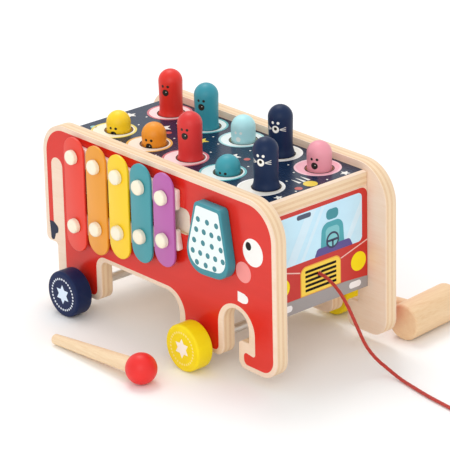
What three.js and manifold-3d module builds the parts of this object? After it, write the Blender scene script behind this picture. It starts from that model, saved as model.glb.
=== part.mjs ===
// Wooden elephant bus: a pull-along toy with ten moles to strike on its back,
// five chime bars on its right side, two mallets and a beater.
// Millimetres, +X to the front, +Y to the toy's left, +Z up, floor at z = 0.

import * as THREE from 'three';
import { mergeVertices } from 'three/addons/utils/BufferGeometryUtils.js';
import Module from 'manifold-3d';

const wasm = await Module();
wasm.setup();

// Clearances
const FIT_GAP = 0.3;
const TURN_GAP = 0.6;

// Wheels and axles
const WHEEL_RADIUS = 16;
const WHEEL_WIDTH = 13.2;
const WHEEL_EDGE = 1.8;
const HUB_RADIUS = 6.5;
const HUB_LENGTH = 5.6;
const AXLE_RADIUS = 3;
const AXLE_REACH_IN_WHEEL = 13;
const REAR_AXLE_SETBACK = 27.5;
const FRONT_AXLE_SETBACK = 18.8;

// Side panels, in the outline of an elephant
const BODY_LENGTH = 230;
const BODY_WIDTH = 105;
const PANEL_THICK = 9.5;
const PANEL_HEIGHT = 116;
const LEG_BELOW_AXLE = 6;
const LEG_CORNER = 7.5;
const REAR_LEG_WIDTH = 45.5;
const FRONT_LEG_WIDTH = 42.6;
const BELLY_HEIGHT = 30.5;
const BELLY_REAR_RADIUS = 6;
const BELLY_FRONT_RADIUS = 13;
const HEAD_RADIUS = 25;
const RUMP_RADIUS = 22;
const TAIL_OVERHANG = 11.4;
const TAIL_HEIGHT = 30;
const TAIL_CORNER = 4;
const TAIL_FILLET = 2.5;
const TRUNK_WIDTH = 25.8;
const TRUNK_DROP = 1.5;
const TRUNK_TOE_RADIUS = 13;
const TRUNK_ARCH_WIDTH = 24.6;
const TRUNK_ARCH_HEIGHT = 37.8;
const HOOK_REACH = 9.9;
const HOOK_HEIGHT = 18.6;
const HOOK_ROUND = 3;
const HOOK_HEEL = 6;
const HOOK_FILLET = 1.5;

// Boards between the side panels
const HEAD_SETBACK = 16.5;
const RUMP_SETBACK = 18.5;
const BOARD_DROP = 4.6;
const BOARD_THICK = 9.5;
const END_PANEL_THICK = 9.5;
const BASE_RISE = 0.9;
const BASE_THICK = 5;
const GUIDE_THICK = 6;
const GRIP_THICK = 2;

// Moles
const MOLE_COLUMNS = 5;
const MOLE_END_MARGIN = 24.7;
const MOLE_EDGE_MARGIN = 19.7;
const MOLE_ROW_SHIFT = 1.2;
const MOLE_RADIUS = 8.2;
const MOLE_WAIST_RADIUS = 7.8;
const MOLE_COLLAR_RADIUS = 8.9;
const MOLE_WAIST_DEPTH = 26.5;
const MOLE_FLARE_DEPTH = 29.6;
const MOLE_COLLAR_DEPTH = 32.3;
const MOLE_HEAD_LENGTH = 44.3;
const MOLE_FLANGE_LIP = 1.8;
const MOLE_FLANGE_THICK = 4;
const MOLE_TRAVEL = 24;
const STEM_RADIUS = 5;
const STEM_CLEARANCE = 2.3;

// Ears
const EAR_THICK = 7.3;
const EAR_HEAD_DISTANCE = 42.6;
const EAR_TOP_DROP = 10.8;
const EAR_TOP_WIDTH = 24.5;
const EAR_FRONT_SPLAY = 8.2;
const EAR_BACK_SPLAY = 13.1;
const EAR_FRONT_HEIGHT = 47.1;
const EAR_BACK_HEIGHT = 50.1;
const EAR_TOP_RADIUS = 3.2;
const EAR_FRONT_RADIUS = 9;
const EAR_BACK_RADIUS = 15;

// Chime bars on two rails
const BAR_WIDTH = 20;
const BAR_GAP = 2.7;
const BAR_THICK = 2;
const BAR_LONGEST = 80.4;
const BAR_STEP = 4;
const BAR_TOP_DROP = 1.7;
const BARS_HEAD_DISTANCE = 145;
const SCREW_TOP_INSET = 13.1;
const SCREW_TOP_STEP = 0.8;
const SCREW_BOTTOM_INSET = 18.7;
const SCREW_RADIUS = 1.7;
const SCREW_DEPTH = 6;
const SCREW_HEAD_RADIUS = 5;
const SCREW_HEAD_HEIGHT = 4.8;
const SCREW_HEAD_RIM = 2.4;
const DOME_STEPS = 3;
const RAIL_THICK = 3.4;
const RAIL_WIDTH = 14;
const RAIL_CORNER = 1.5;
const UPPER_RAIL_OVERHANG = 10.6;
const LOWER_RAIL_OVERHANG = 11.4;
const SLOT_HEIGHT = 18;
const SLOT_DEPTH = 3;
const SLOT_CORNER = 5;
const SLOT_DROP = 32.4;
const SLOT_OVERHANG = 19.4;

// Pull cord
const CORD_RADIUS = 1.25;
const CORD_HOLE_GAP = 0.4;
const CORD_HEIGHT_IN_PANEL = 21.6;
const KNOT_RADIUS = 4.5;
const END_KNOT_RADIUS = 4;
const COIL_RADIUS = 18;
const COIL_PITCH = 3.2;
const COIL_LAYER_RISE = 3.2;
const COIL_TURNS_PER_LAYER = 2;
const COIL_STEPS_PER_TURN = 24;
const COIL_SIDES = 6;
const CORD_SIDES = 8;
const CORD_STEPS = 56;

// Mallets and beater, lying on the floor
const MALLET_LENGTH = 150;
const MALLET_HEAD_RADIUS = 12.5;
const MALLET_HEAD_LENGTH = 48;
const MALLET_HEAD_EDGE = 2;
const MALLET_HANDLE_RADIUS = 4.75;
const MALLET_SOCKET_DEPTH = 18;
const MALLET_A_INSET = 6.6;
const MALLET_A_DISTANCE = 35.2;
const MALLET_A_TURN = THREE.MathUtils.degToRad(3);
const MALLET_B_INSET = 7.5;
const MALLET_B_DISTANCE = 34.8;
const MALLET_B_TURN = THREE.MathUtils.degToRad(185.8);
const BALL_RADIUS = 10.4;
const BALL_SOCKET_DEPTH = 12;
const STICK_RADIUS = 3.5;
const STICK_NECK_RADIUS = 5.6;
const STICK_REACH = 87;
const BEATER_X = 41.4;
const BEATER_Y = -102.3;
const BEATER_TURN = THREE.MathUtils.degToRad(180.8);

// Colours
const COLOUR = {
  wood: 0xe9cda3,
  paleWood: 0xf0dcb8,
  red: 0xd8402f,
  orange: 0xee9a2e,
  yellow: 0xf4c81f,
  teal: 0x3a93a0,
  navy: 0x25325a,
  mint: 0x9fdfe2,
  pink: 0xee93a6,
  purple: 0xb765b4,
  cream: 0xfbf3dc,
  steel: 0xa9a6a2,
  felt: 0x55504c,
  cord: 0xc8393b,
};

// Places that follow from the sizes
const FRONT_X = BODY_LENGTH / 2;
const REAR_X = -BODY_LENGTH / 2;
const SIDE_Y = BODY_WIDTH / 2;
const INNER_Y = SIDE_Y - PANEL_THICK;
const LEG_BOTTOM = WHEEL_RADIUS - LEG_BELOW_AXLE;
const PANEL_TOP = LEG_BOTTOM + PANEL_HEIGHT;
const BELLY_TOP = LEG_BOTTOM + BELLY_HEIGHT;
const TRUNK_BOTTOM = LEG_BOTTOM - TRUNK_DROP;
const TRUNK_BACK = FRONT_X - TRUNK_WIDTH;
const FRONT_LEG_FRONT = TRUNK_BACK - TRUNK_ARCH_WIDTH;
const FRONT_LEG_BACK = FRONT_LEG_FRONT - FRONT_LEG_WIDTH;
const REAR_LEG_BACK = REAR_X + TAIL_OVERHANG;
const REAR_LEG_FRONT = REAR_LEG_BACK + REAR_LEG_WIDTH;
const REAR_AXLE_X = REAR_LEG_BACK + REAR_AXLE_SETBACK;
const FRONT_AXLE_X = FRONT_LEG_FRONT - FRONT_AXLE_SETBACK;

const BOARD_FRONT = FRONT_X - HEAD_SETBACK;
const BOARD_REAR = REAR_X + RUMP_SETBACK;
const BOARD_TOP = PANEL_TOP - BOARD_DROP;
const BOARD_BOTTOM = BOARD_TOP - BOARD_THICK;
const BOARD_HALF_WIDTH = INNER_Y - FIT_GAP;
const BOX_FRONT = BOARD_FRONT - END_PANEL_THICK - FIT_GAP;
const BOX_REAR = BOARD_REAR + END_PANEL_THICK + FIT_GAP;
const BASE_BOTTOM = BELLY_TOP + BASE_RISE;
const BASE_TOP = BASE_BOTTOM + BASE_THICK;
const END_PANEL_TOP = BOARD_BOTTOM - FIT_GAP;
const FLANGE_TOP_RAISED = BOARD_BOTTOM - FIT_GAP;
const GRIP_TOP = FLANGE_TOP_RAISED - MOLE_FLANGE_THICK - MOLE_TRAVEL - FIT_GAP;
const GUIDE_TOP = GRIP_TOP - GRIP_THICK - FIT_GAP;
const MOLE_PITCH = (BOARD_FRONT - BOARD_REAR - 2 * MOLE_END_MARGIN) / (MOLE_COLUMNS - 1);
const NEAR_ROW_Y = MOLE_EDGE_MARGIN - BOARD_HALF_WIDTH + MOLE_ROW_SHIFT;
const FAR_ROW_Y = BOARD_HALF_WIDTH - MOLE_EDGE_MARGIN + MOLE_ROW_SHIFT;
const MOLE_HOLE_RADIUS = MOLE_COLLAR_RADIUS + FIT_GAP;
const CORD_Z = BASE_BOTTOM + CORD_HEIGHT_IN_PANEL;

// Mole rows: how far each one is pressed in from its highest place
const NEAR_MOLES = [
  { name: 'yellow', pressed: 20.8 },
  { name: 'orange', pressed: 19.6 },
  { name: 'red', pressed: 2.7 },
  { name: 'teal', pressed: 22.7 },
  { name: 'navy', pressed: 1 },
];
const FAR_MOLES = [
  { name: 'red', pressed: 3 },
  { name: 'teal', pressed: 3.9 },
  { name: 'mint', pressed: 17 },
  { name: 'navy', pressed: 0.4 },
  { name: 'pink', pressed: 15.7 },
];
const BAR_COLOURS = ['red', 'orange', 'yellow', 'teal', 'purple'];

const toy = new THREE.Group();

/** A named mesh with its own material. */
function piece(name, geometry, colour, roughness = 0.6, metalness = 0) {
  const material = new THREE.MeshStandardMaterial({ color: COLOUR[colour], roughness, metalness });
  const mesh = new THREE.Mesh(geometry, material);
  mesh.name = name;
  return mesh;
}

/** A closed outline through corners [x, y, radius], each rounded by an arc of short steps. */
function roundedOutline(corners, stepDegrees = 15) {
  const points = [];
  const add = (x, y) => {
    const last = points[points.length - 1];
    if (!last || Math.hypot(last.x - x, last.y - y) > 0.01) points.push(new THREE.Vector2(x, y));
  };
  corners.forEach(([x, y, radius], i) => {
    const [px, py] = corners[(i + corners.length - 1) % corners.length];
    const [nx, ny] = corners[(i + 1) % corners.length];
    const into = new THREE.Vector2(x - px, y - py).normalize();
    const out = new THREE.Vector2(nx - x, ny - y).normalize();
    const turn = Math.atan2(into.cross(out), into.dot(out));
    const trim = radius * Math.tan(Math.abs(turn) / 2);
    const side = Math.sign(turn);
    const centreX = x - into.x * trim - side * into.y * radius;
    const centreY = y - into.y * trim + side * into.x * radius;
    const steps = Math.max(1, Math.round(Math.abs(THREE.MathUtils.radToDeg(turn)) / stepDegrees));
    const start = Math.atan2(-side * into.x, side * into.y);
    for (let k = 0; k <= steps; k += 1) {
      const angle = start + (turn * k) / steps;
      add(centreX + radius * Math.cos(angle), centreY + radius * Math.sin(angle));
    }
  });
  if (points[0].distanceTo(points[points.length - 1]) < 0.01) points.pop();
  return new THREE.Shape(points);
}

/** A rectangle between two corners as outline corners with one radius. */
function rectangle(x0, y0, x1, y1, radius) {
  return [[x0, y0, radius], [x1, y0, radius], [x1, y1, radius], [x0, y1, radius]];
}

/** A round hole of a few flat sides in an outline. */
function holePath(x, y, radius, sides) {
  const path = new THREE.Path();
  const points = [];
  for (let k = 0; k < sides; k += 1) {
    const angle = (2 * Math.PI * k) / sides;
    points.push(new THREE.Vector2(x + radius * Math.cos(angle), y + radius * Math.sin(angle)));
  }
  return path.setFromPoints(points);
}

/** An outline made solid to a given depth. */
function extruded(shape, depth) {
  return new THREE.ExtrudeGeometry(shape, { depth, bevelEnabled: false, curveSegments: 1, steps: 1 });
}

/** An upright slab, drawn in X and Z, whose outer faces stand at y0 and y1. */
function uprightSlab(shape, y0, y1) {
  const geometry = extruded(shape, y1 - y0);
  geometry.rotateX(Math.PI / 2);
  geometry.translate(0, y1, 0);
  return geometry;
}

/** A lying slab, drawn in X and Y, between two heights. */
function lyingSlab(shape, z0, z1) {
  const geometry = extruded(shape, z1 - z0);
  geometry.translate(0, 0, z0);
  return geometry;
}

/** A turned form about Y from [radius, height] pairs. */
function turned(profile, sides) {
  return new THREE.LatheGeometry(profile.map(([r, y]) => new THREE.Vector2(r, y)), sides);
}

/** A turned form about Z. */
function turnedUpright(profile, sides) {
  return turned(profile, sides).rotateX(Math.PI / 2);
}

/** A solid for cutting, made of a geometry's bare positions. */
function solidOf(geometry) {
  const bare = geometry.clone();
  bare.deleteAttribute('normal');
  bare.deleteAttribute('uv');
  const merged = mergeVertices(bare, 1e-4);
  const vertProperties = new Float32Array(merged.attributes.position.array);
  const triVerts = new Uint32Array(merged.index.array);
  return new wasm.Manifold(new wasm.Mesh({ numProp: 3, vertProperties, triVerts }));
}

/** The geometry of the first form less all the others. */
function cutBy(geometry, cutters) {
  let solid = solidOf(geometry);
  for (const cutter of cutters) solid = solid.subtract(solidOf(cutter));
  const mesh = solid.getMesh();
  const result = new THREE.BufferGeometry();
  result.setAttribute('position', new THREE.BufferAttribute(mesh.vertProperties, 3));
  result.setIndex(new THREE.BufferAttribute(mesh.triVerts, 1));
  result.computeVertexNormals();
  return result;
}

/** A plain rod along Y between two places. */
function rodAlongY(radius, y0, y1, sides) {
  return new THREE.CylinderGeometry(radius, radius, y1 - y0, sides).translate(0, (y0 + y1) / 2, 0);
}

/** The quarter arc of an edge rounding, as [radius, height] pairs. */
function edgeArc(radius, height, edge, fromDegrees, toDegrees, steps) {
  const arc = [];
  for (let k = 0; k <= steps; k += 1) {
    const angle = THREE.MathUtils.degToRad(fromDegrees + ((toDegrees - fromDegrees) * k) / steps);
    arc.push([radius + edge * Math.cos(angle), height + edge * Math.sin(angle)]);
  }
  return arc;
}

// Chime bar places, used by the bars, their screws, the rails and the near panel

const BAR_PITCH = BAR_WIDTH + BAR_GAP;
const BARS_CENTRE_X = FRONT_X - BARS_HEAD_DISTANCE;
const BAR_TOP = PANEL_TOP - BAR_TOP_DROP;
const RAIL_OUTER_Y = -(SIDE_Y + FIT_GAP + RAIL_THICK);
const BAR_INNER_Y = RAIL_OUTER_Y - FIT_GAP;
const BAR_OUTER_Y = BAR_INNER_Y - BAR_THICK;
const SCREW_HEAD_Y = BAR_OUTER_Y - FIT_GAP;
const SCREW_TIP_Y = -SIDE_Y + SCREW_DEPTH;
const bars = BAR_COLOURS.map((colour, i) => {
  const x = BARS_CENTRE_X + (i - (BAR_COLOURS.length - 1) / 2) * BAR_PITCH;
  const bottom = BAR_TOP - (BAR_LONGEST - BAR_STEP * i);
  const screws = {
    upper: BAR_TOP - SCREW_TOP_INSET - SCREW_TOP_STEP * i,
    lower: bottom + SCREW_BOTTOM_INSET,
  };
  return { colour, x, bottom, screws };
});
const FIRST_BAR = bars[0];
const LAST_BAR = bars[bars.length - 1];

// Side panels

function panelOutline() {
  const archRadius = TRUNK_ARCH_WIDTH / 2 - 0.05;
  const tailBottom = LEG_BOTTOM + TAIL_HEIGHT;
  const archTop = LEG_BOTTOM + TRUNK_ARCH_HEIGHT;
  const hookTop = TRUNK_BOTTOM + HOOK_HEIGHT;
  const hookTip = TRUNK_BACK - HOOK_REACH;
  return roundedOutline([
    [REAR_X, PANEL_TOP, RUMP_RADIUS],
    [REAR_X, tailBottom, TAIL_CORNER],
    [REAR_LEG_BACK, tailBottom, TAIL_FILLET],
    [REAR_LEG_BACK, LEG_BOTTOM, LEG_CORNER],
    [REAR_LEG_FRONT, LEG_BOTTOM, LEG_CORNER],
    [REAR_LEG_FRONT, BELLY_TOP, BELLY_REAR_RADIUS],
    [FRONT_LEG_BACK, BELLY_TOP, BELLY_FRONT_RADIUS],
    [FRONT_LEG_BACK, LEG_BOTTOM, LEG_CORNER],
    [FRONT_LEG_FRONT, LEG_BOTTOM, LEG_CORNER],
    [FRONT_LEG_FRONT, archTop, archRadius],
    [TRUNK_BACK, archTop, archRadius],
    [TRUNK_BACK, hookTop, HOOK_FILLET],
    [hookTip, hookTop, HOOK_ROUND],
    [hookTip, TRUNK_BOTTOM, HOOK_HEEL],
    [FRONT_X, TRUNK_BOTTOM, TRUNK_TOE_RADIUS],
    [FRONT_X, PANEL_TOP, HEAD_RADIUS],
  ]);
}

function panelWithAxleHoles(y0, y1) {
  const shape = panelOutline();
  for (const x of [REAR_AXLE_X, FRONT_AXLE_X]) {
    shape.holes.push(holePath(x, WHEEL_RADIUS, AXLE_RADIUS + TURN_GAP, 16));
  }
  return uprightSlab(shape, y0, y1);
}

function rightPanel() {
  const plain = panelWithAxleHoles(-SIDE_Y, -INNER_Y);
  const pilotLength = SCREW_DEPTH + FIT_GAP;
  const pilots = bars.flatMap((bar) => [bar.screws.upper, bar.screws.lower].map((z) =>
    rodAlongY(SCREW_RADIUS + FIT_GAP, -SIDE_Y - 1, -SIDE_Y + pilotLength, 8).translate(bar.x, 0, z)));
  const slotZ = PANEL_TOP - SLOT_DROP;
  const slot = roundedOutline(rectangle(FIRST_BAR.x - BAR_WIDTH / 4, slotZ - SLOT_HEIGHT / 2,
    LAST_BAR.x + SLOT_OVERHANG, slotZ + SLOT_HEIGHT / 2, SLOT_CORNER), 20);
  const pocket = uprightSlab(slot, -SIDE_Y - 1, -SIDE_Y + SLOT_DEPTH);
  return cutBy(plain, [...pilots, pocket]);
}

toy.add(piece('side_panel_right', rightPanel(), 'wood'));
toy.add(piece('side_panel_left', panelWithAxleHoles(INNER_Y, SIDE_Y), 'wood'));

// Boards and end panels

const moleColumns = Array.from({ length: MOLE_COLUMNS }, (_, i) =>
  BOARD_REAR + MOLE_END_MARGIN + i * MOLE_PITCH);

function boardWithHoles(x0, x1, z0, z1, holeRadius, sides) {
  const shape = new THREE.Shape([
    new THREE.Vector2(x0, -BOARD_HALF_WIDTH),
    new THREE.Vector2(x1, -BOARD_HALF_WIDTH),
    new THREE.Vector2(x1, BOARD_HALF_WIDTH),
    new THREE.Vector2(x0, BOARD_HALF_WIDTH),
  ]);
  for (const x of moleColumns) {
    for (const y of [NEAR_ROW_Y, FAR_ROW_Y]) shape.holes.push(holePath(x, y, holeRadius, sides));
  }
  return lyingSlab(shape, z0, z1);
}

function box(x0, x1, z0, z1) {
  const geometry = new THREE.BoxGeometry(x1 - x0, 2 * BOARD_HALF_WIDTH, z1 - z0);
  return geometry.translate((x0 + x1) / 2, 0, (z0 + z1) / 2);
}

function frontPanel() {
  const plain = box(BOARD_FRONT - END_PANEL_THICK, BOARD_FRONT, BASE_BOTTOM, END_PANEL_TOP);
  const hole = rodAlongY(CORD_RADIUS + CORD_HOLE_GAP, -END_PANEL_THICK, END_PANEL_THICK, 12);
  hole.rotateZ(Math.PI / 2).translate(BOARD_FRONT - END_PANEL_THICK / 2, 0, CORD_Z);
  return cutBy(plain, [hole]);
}

const stemHole = STEM_RADIUS + FIT_GAP;
toy.add(piece('mole_board',
  boardWithHoles(BOARD_REAR, BOARD_FRONT, BOARD_BOTTOM, BOARD_TOP, MOLE_HOLE_RADIUS, 16), 'wood'));
toy.add(piece('guide_board',
  boardWithHoles(BOX_REAR, BOX_FRONT, GUIDE_TOP - GUIDE_THICK, GUIDE_TOP, stemHole, 10), 'wood'));
toy.add(piece('grip_sheet',
  boardWithHoles(BOX_REAR, BOX_FRONT, GRIP_TOP - GRIP_THICK, GRIP_TOP, stemHole, 10), 'felt', 0.95));
toy.add(piece('base_board', box(BOX_REAR, BOX_FRONT, BASE_BOTTOM, BASE_TOP), 'wood'));
toy.add(piece('front_panel', frontPanel(), 'wood'));
toy.add(piece('rear_panel',
  box(BOARD_REAR, BOARD_REAR + END_PANEL_THICK, BASE_BOTTOM, END_PANEL_TOP), 'wood'));

// Moles: a domed head with a collar, a flange that stops at the boards, and a guided stem

function moleGeometry() {
  const stemBottom = BASE_TOP + STEM_CLEARANCE - (GRIP_TOP + FIT_GAP) - MOLE_FLANGE_THICK;
  const flangeRadius = MOLE_HOLE_RADIUS + MOLE_FLANGE_LIP;
  const stemChamfer = 0.8;
  const profile = [
    [0, stemBottom],
    [STEM_RADIUS - stemChamfer, stemBottom],
    [STEM_RADIUS, stemBottom + stemChamfer],
    [STEM_RADIUS, -MOLE_FLANGE_THICK],
    [flangeRadius, -MOLE_FLANGE_THICK],
    [flangeRadius, 0],
    [MOLE_COLLAR_RADIUS, 0],
    [MOLE_COLLAR_RADIUS, MOLE_HEAD_LENGTH - MOLE_COLLAR_DEPTH],
    [MOLE_RADIUS, MOLE_HEAD_LENGTH - MOLE_FLARE_DEPTH],
    [MOLE_WAIST_RADIUS, MOLE_HEAD_LENGTH - MOLE_WAIST_DEPTH],
    ...edgeArc(0, MOLE_HEAD_LENGTH - MOLE_RADIUS, MOLE_RADIUS, 0, 90, 4).slice(0, -1),
    [0, MOLE_HEAD_LENGTH],
  ];
  return turnedUpright(profile, 16);
}

function addMoleRow(row, prefix, y) {
  row.forEach(({ name, pressed }, i) => {
    const mole = piece(`mole_${prefix}_${name}`, moleGeometry(), name, 0.55);
    mole.position.set(moleColumns[i], y, FLANGE_TOP_RAISED - pressed);
    toy.add(mole);
  });
}

addMoleRow(NEAR_MOLES, 'right', NEAR_ROW_Y);
addMoleRow(FAR_MOLES, 'left', FAR_ROW_Y);

// Ears

function earGeometry(y0, y1) {
  const top = PANEL_TOP - EAR_TOP_DROP;
  const frontTop = FRONT_X - EAR_HEAD_DISTANCE;
  const backTop = frontTop - EAR_TOP_WIDTH;
  const outline = roundedOutline([
    [backTop, top, EAR_TOP_RADIUS],
    [backTop - EAR_BACK_SPLAY, top - EAR_BACK_HEIGHT, EAR_BACK_RADIUS],
    [frontTop + EAR_FRONT_SPLAY, top - EAR_FRONT_HEIGHT, EAR_FRONT_RADIUS],
    [frontTop, top, EAR_TOP_RADIUS],
  ]);
  return uprightSlab(outline, y0, y1);
}

const EAR_INNER = SIDE_Y + FIT_GAP;
toy.add(piece('ear_right', earGeometry(-EAR_INNER - EAR_THICK, -EAR_INNER), 'teal', 0.45));
toy.add(piece('ear_left', earGeometry(EAR_INNER, EAR_INNER + EAR_THICK), 'teal', 0.45));

// Rails, bars and bar screws

function railGeometry(key, overhang) {
  const start = new THREE.Vector2(FIRST_BAR.x, FIRST_BAR.screws[key]);
  const end = new THREE.Vector2(LAST_BAR.x, LAST_BAR.screws[key]);
  const along = end.clone().sub(start).normalize();
  const across = new THREE.Vector2(-along.y, along.x).multiplyScalar(RAIL_WIDTH / 2);
  const reach = along.clone().multiplyScalar(overhang);
  const a = start.clone().sub(reach);
  const b = end.clone().add(reach);
  const outline = roundedOutline([
    [a.x - across.x, a.y - across.y, RAIL_CORNER],
    [b.x - across.x, b.y - across.y, RAIL_CORNER],
    [b.x + across.x, b.y + across.y, RAIL_CORNER],
    [a.x + across.x, a.y + across.y, RAIL_CORNER],
  ], 45);
  for (const bar of bars) {
    outline.holes.push(holePath(bar.x, bar.screws[key], SCREW_RADIUS + FIT_GAP, 8));
  }
  return uprightSlab(outline, RAIL_OUTER_Y, RAIL_OUTER_Y + RAIL_THICK);
}

function barGeometry(bar) {
  const radius = BAR_WIDTH / 2 - 0.05;
  const corners = rectangle(bar.x - BAR_WIDTH / 2, bar.bottom, bar.x + BAR_WIDTH / 2, BAR_TOP, radius);
  const outline = roundedOutline(corners, 18);
  for (const z of [bar.screws.upper, bar.screws.lower]) {
    outline.holes.push(holePath(bar.x, z, SCREW_RADIUS + FIT_GAP, 8));
  }
  return uprightSlab(outline, BAR_OUTER_Y, BAR_INNER_Y);
}

function screwGeometry() {
  const shankLength = SCREW_TIP_Y - SCREW_HEAD_Y;
  const dome = [];
  for (let k = 1; k < DOME_STEPS; k += 1) {
    const angle = (Math.PI / 2) * (k / DOME_STEPS);
    dome.push([
      SCREW_HEAD_RADIUS * Math.cos(angle),
      SCREW_HEAD_RIM + (SCREW_HEAD_HEIGHT - SCREW_HEAD_RIM) * Math.sin(angle),
    ]);
  }
  const profile = [
    [0, -shankLength],
    [SCREW_RADIUS, -shankLength],
    [SCREW_RADIUS, 0],
    [SCREW_HEAD_RADIUS, 0],
    [SCREW_HEAD_RADIUS, SCREW_HEAD_RIM],
    ...dome,
    [0, SCREW_HEAD_HEIGHT],
  ];
  return turned(profile, 10).rotateZ(Math.PI);
}

toy.add(piece('rail_upper', railGeometry('upper', UPPER_RAIL_OVERHANG), 'paleWood'));
toy.add(piece('rail_lower', railGeometry('lower', LOWER_RAIL_OVERHANG), 'paleWood'));
for (const bar of bars) {
  toy.add(piece(`bar_${bar.colour}`, barGeometry(bar), bar.colour, 0.35, 0.4));
  for (const [key, z] of Object.entries(bar.screws)) {
    const screw = piece(`screw_${bar.colour}_${key}`, screwGeometry(), 'cream', 0.4);
    screw.position.set(bar.x, SCREW_HEAD_Y, z);
    toy.add(screw);
  }
}

// Wheels and axles

function wheelGeometry() {
  const width = HUB_LENGTH + WHEEL_WIDTH;
  const edgeRadius = WHEEL_RADIUS - WHEEL_EDGE;
  const bore = AXLE_RADIUS + FIT_GAP;
  const boreDepth = AXLE_REACH_IN_WHEEL + FIT_GAP;
  const profile = [
    [0, boreDepth],
    [bore, boreDepth],
    [bore, 0],
    [HUB_RADIUS, 0],
    [HUB_RADIUS, HUB_LENGTH],
    ...edgeArc(edgeRadius, HUB_LENGTH + WHEEL_EDGE, WHEEL_EDGE, -90, 0, 2),
    ...edgeArc(edgeRadius, width - WHEEL_EDGE, WHEEL_EDGE, 0, 90, 2),
    [0, width],
  ];
  return turned(profile, 28);
}

const HUB_Y = SIDE_Y + TURN_GAP;
const AXLE_END_Y = HUB_Y + AXLE_REACH_IN_WHEEL;
for (const [place, x, colour] of [['rear', REAR_AXLE_X, 'navy'], ['front', FRONT_AXLE_X, 'yellow']]) {
  const rod = rodAlongY(AXLE_RADIUS, -AXLE_END_Y, AXLE_END_Y, 16);
  const axle = piece(`axle_${place}`, rod, 'steel', 0.35, 0.9);
  axle.position.set(x, 0, WHEEL_RADIUS);
  toy.add(axle);
  for (const [side, sign] of [['right', -1], ['left', 1]]) {
    const wheel = piece(`wheel_${place}_${side}`, wheelGeometry(), colour, 0.5);
    wheel.position.set(x, sign * HUB_Y, WHEEL_RADIUS);
    if (sign < 0) wheel.rotation.z = Math.PI;
    toy.add(wheel);
  }
}

// Pull cord: knot behind the front panel, free run to the floor, coil and end knot

const CORD_FLOOR = CORD_RADIUS + 0.1;
const CORD_LANDING = 0.4;
const CORD_ROUTE = [
  [98.9, 0, CORD_Z],
  [104.5, 0.2, CORD_Z - 0.9],
  [112.6, 0.8, 57.9],
  [118.8, 1.6, 51.9],
  [123.6, 3, 43.7],
  [127.2, 6, 32.5],
  [130.9, 10, 19.8],
  [135.3, 14.1, 11.3],
  [142.6, 17.4, 5.4],
  [154.1, 17.7, CORD_FLOOR + CORD_LANDING],
  [170.4, 15, CORD_FLOOR],
  [185.1, 12.6, CORD_FLOOR],
  [209.8, 10, CORD_FLOOR],
  [232, 7, CORD_FLOOR],
];
const routePoints = CORD_ROUTE.map(([x, y, z]) => new THREE.Vector3(x, y, z));
const routeEnd = routePoints[routePoints.length - 1];
const routeHeading = routeEnd.clone().sub(routePoints[routePoints.length - 2]).setZ(0).normalize();

function cordRun() {
  const section = new THREE.Shape(holePath(0, 0, CORD_RADIUS, CORD_SIDES).getPoints());
  const route = new THREE.CatmullRomCurve3(routePoints, false, 'centripetal');
  return new THREE.ExtrudeGeometry(section, { steps: CORD_STEPS, extrudePath: route, bevelEnabled: false });
}

/** The middle line of the coil: in along the lower layer, up in half a turn, out along the upper one. */
function coilPoints() {
  const heading = Math.atan2(routeHeading.y, routeHeading.x);
  const start = routeEnd.clone().addScaledVector(routeHeading, FIT_GAP);
  const entry = start.clone().addScaledVector(routeHeading, 2 * CORD_RADIUS);
  const centre = new THREE.Vector3(
    entry.x - COIL_RADIUS * Math.sin(heading),
    entry.y + COIL_RADIUS * Math.cos(heading),
    CORD_FLOOR,
  );
  const steps = COIL_STEPS_PER_TURN;
  const layerSteps = COIL_TURNS_PER_LAYER * steps;
  const climbSteps = steps / 2;
  const total = 2 * layerSteps + climbSteps;
  const points = [start];
  for (let k = 0; k <= total; k += 1) {
    const climbed = THREE.MathUtils.clamp((k - layerSteps) / climbSteps, 0, 1);
    const inward = Math.min(k, total - k, layerSteps + climbSteps / 4);
    const radius = COIL_RADIUS - (COIL_PITCH * inward) / steps;
    const angle = heading - Math.PI / 2 + (2 * Math.PI * k) / steps;
    points.push(new THREE.Vector3(
      centre.x + radius * Math.cos(angle),
      centre.y + radius * Math.sin(angle),
      centre.z + COIL_LAYER_RISE * THREE.MathUtils.smoothstep(climbed, 0, 1),
    ));
  }
  const last = points[points.length - 1];
  const leaving = last.clone().sub(points[points.length - 2]).setZ(0).normalize();
  points.push(last.clone().addScaledVector(leaving, 2 * CORD_RADIUS));
  return points;
}

/** A round tube of flat sides along points, with closed ends. */
function tubeThrough(points, radius, sides) {
  const positions = [];
  const index = [];
  const up = new THREE.Vector3(0, 0, 1);
  points.forEach((point, i) => {
    const before = points[Math.max(i - 1, 0)];
    const after = points[Math.min(i + 1, points.length - 1)];
    const along = after.clone().sub(before).normalize();
    const side = new THREE.Vector3().crossVectors(up, along).normalize();
    const top = new THREE.Vector3().crossVectors(along, side);
    for (let k = 0; k < sides; k += 1) {
      const angle = (2 * Math.PI * (k + 0.5)) / sides;
      const place = point.clone().addScaledVector(side, radius * Math.cos(angle));
      positions.push(...place.addScaledVector(top, radius * Math.sin(angle)).toArray());
    }
  });
  for (let i = 0; i + 1 < points.length; i += 1) {
    for (let k = 0; k < sides; k += 1) {
      const a = i * sides + k;
      const b = i * sides + ((k + 1) % sides);
      index.push(a, b, a + sides, b, b + sides, a + sides);
    }
  }
  const end = (points.length - 1) * sides;
  for (let k = 1; k + 1 < sides; k += 1) {
    index.push(0, k + 1, k, end, end + k, end + k + 1);
  }
  const geometry = new THREE.BufferGeometry();
  geometry.setAttribute('position', new THREE.Float32BufferAttribute(positions, 3));
  geometry.setIndex(index);
  geometry.computeVertexNormals();
  return geometry;
}

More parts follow.
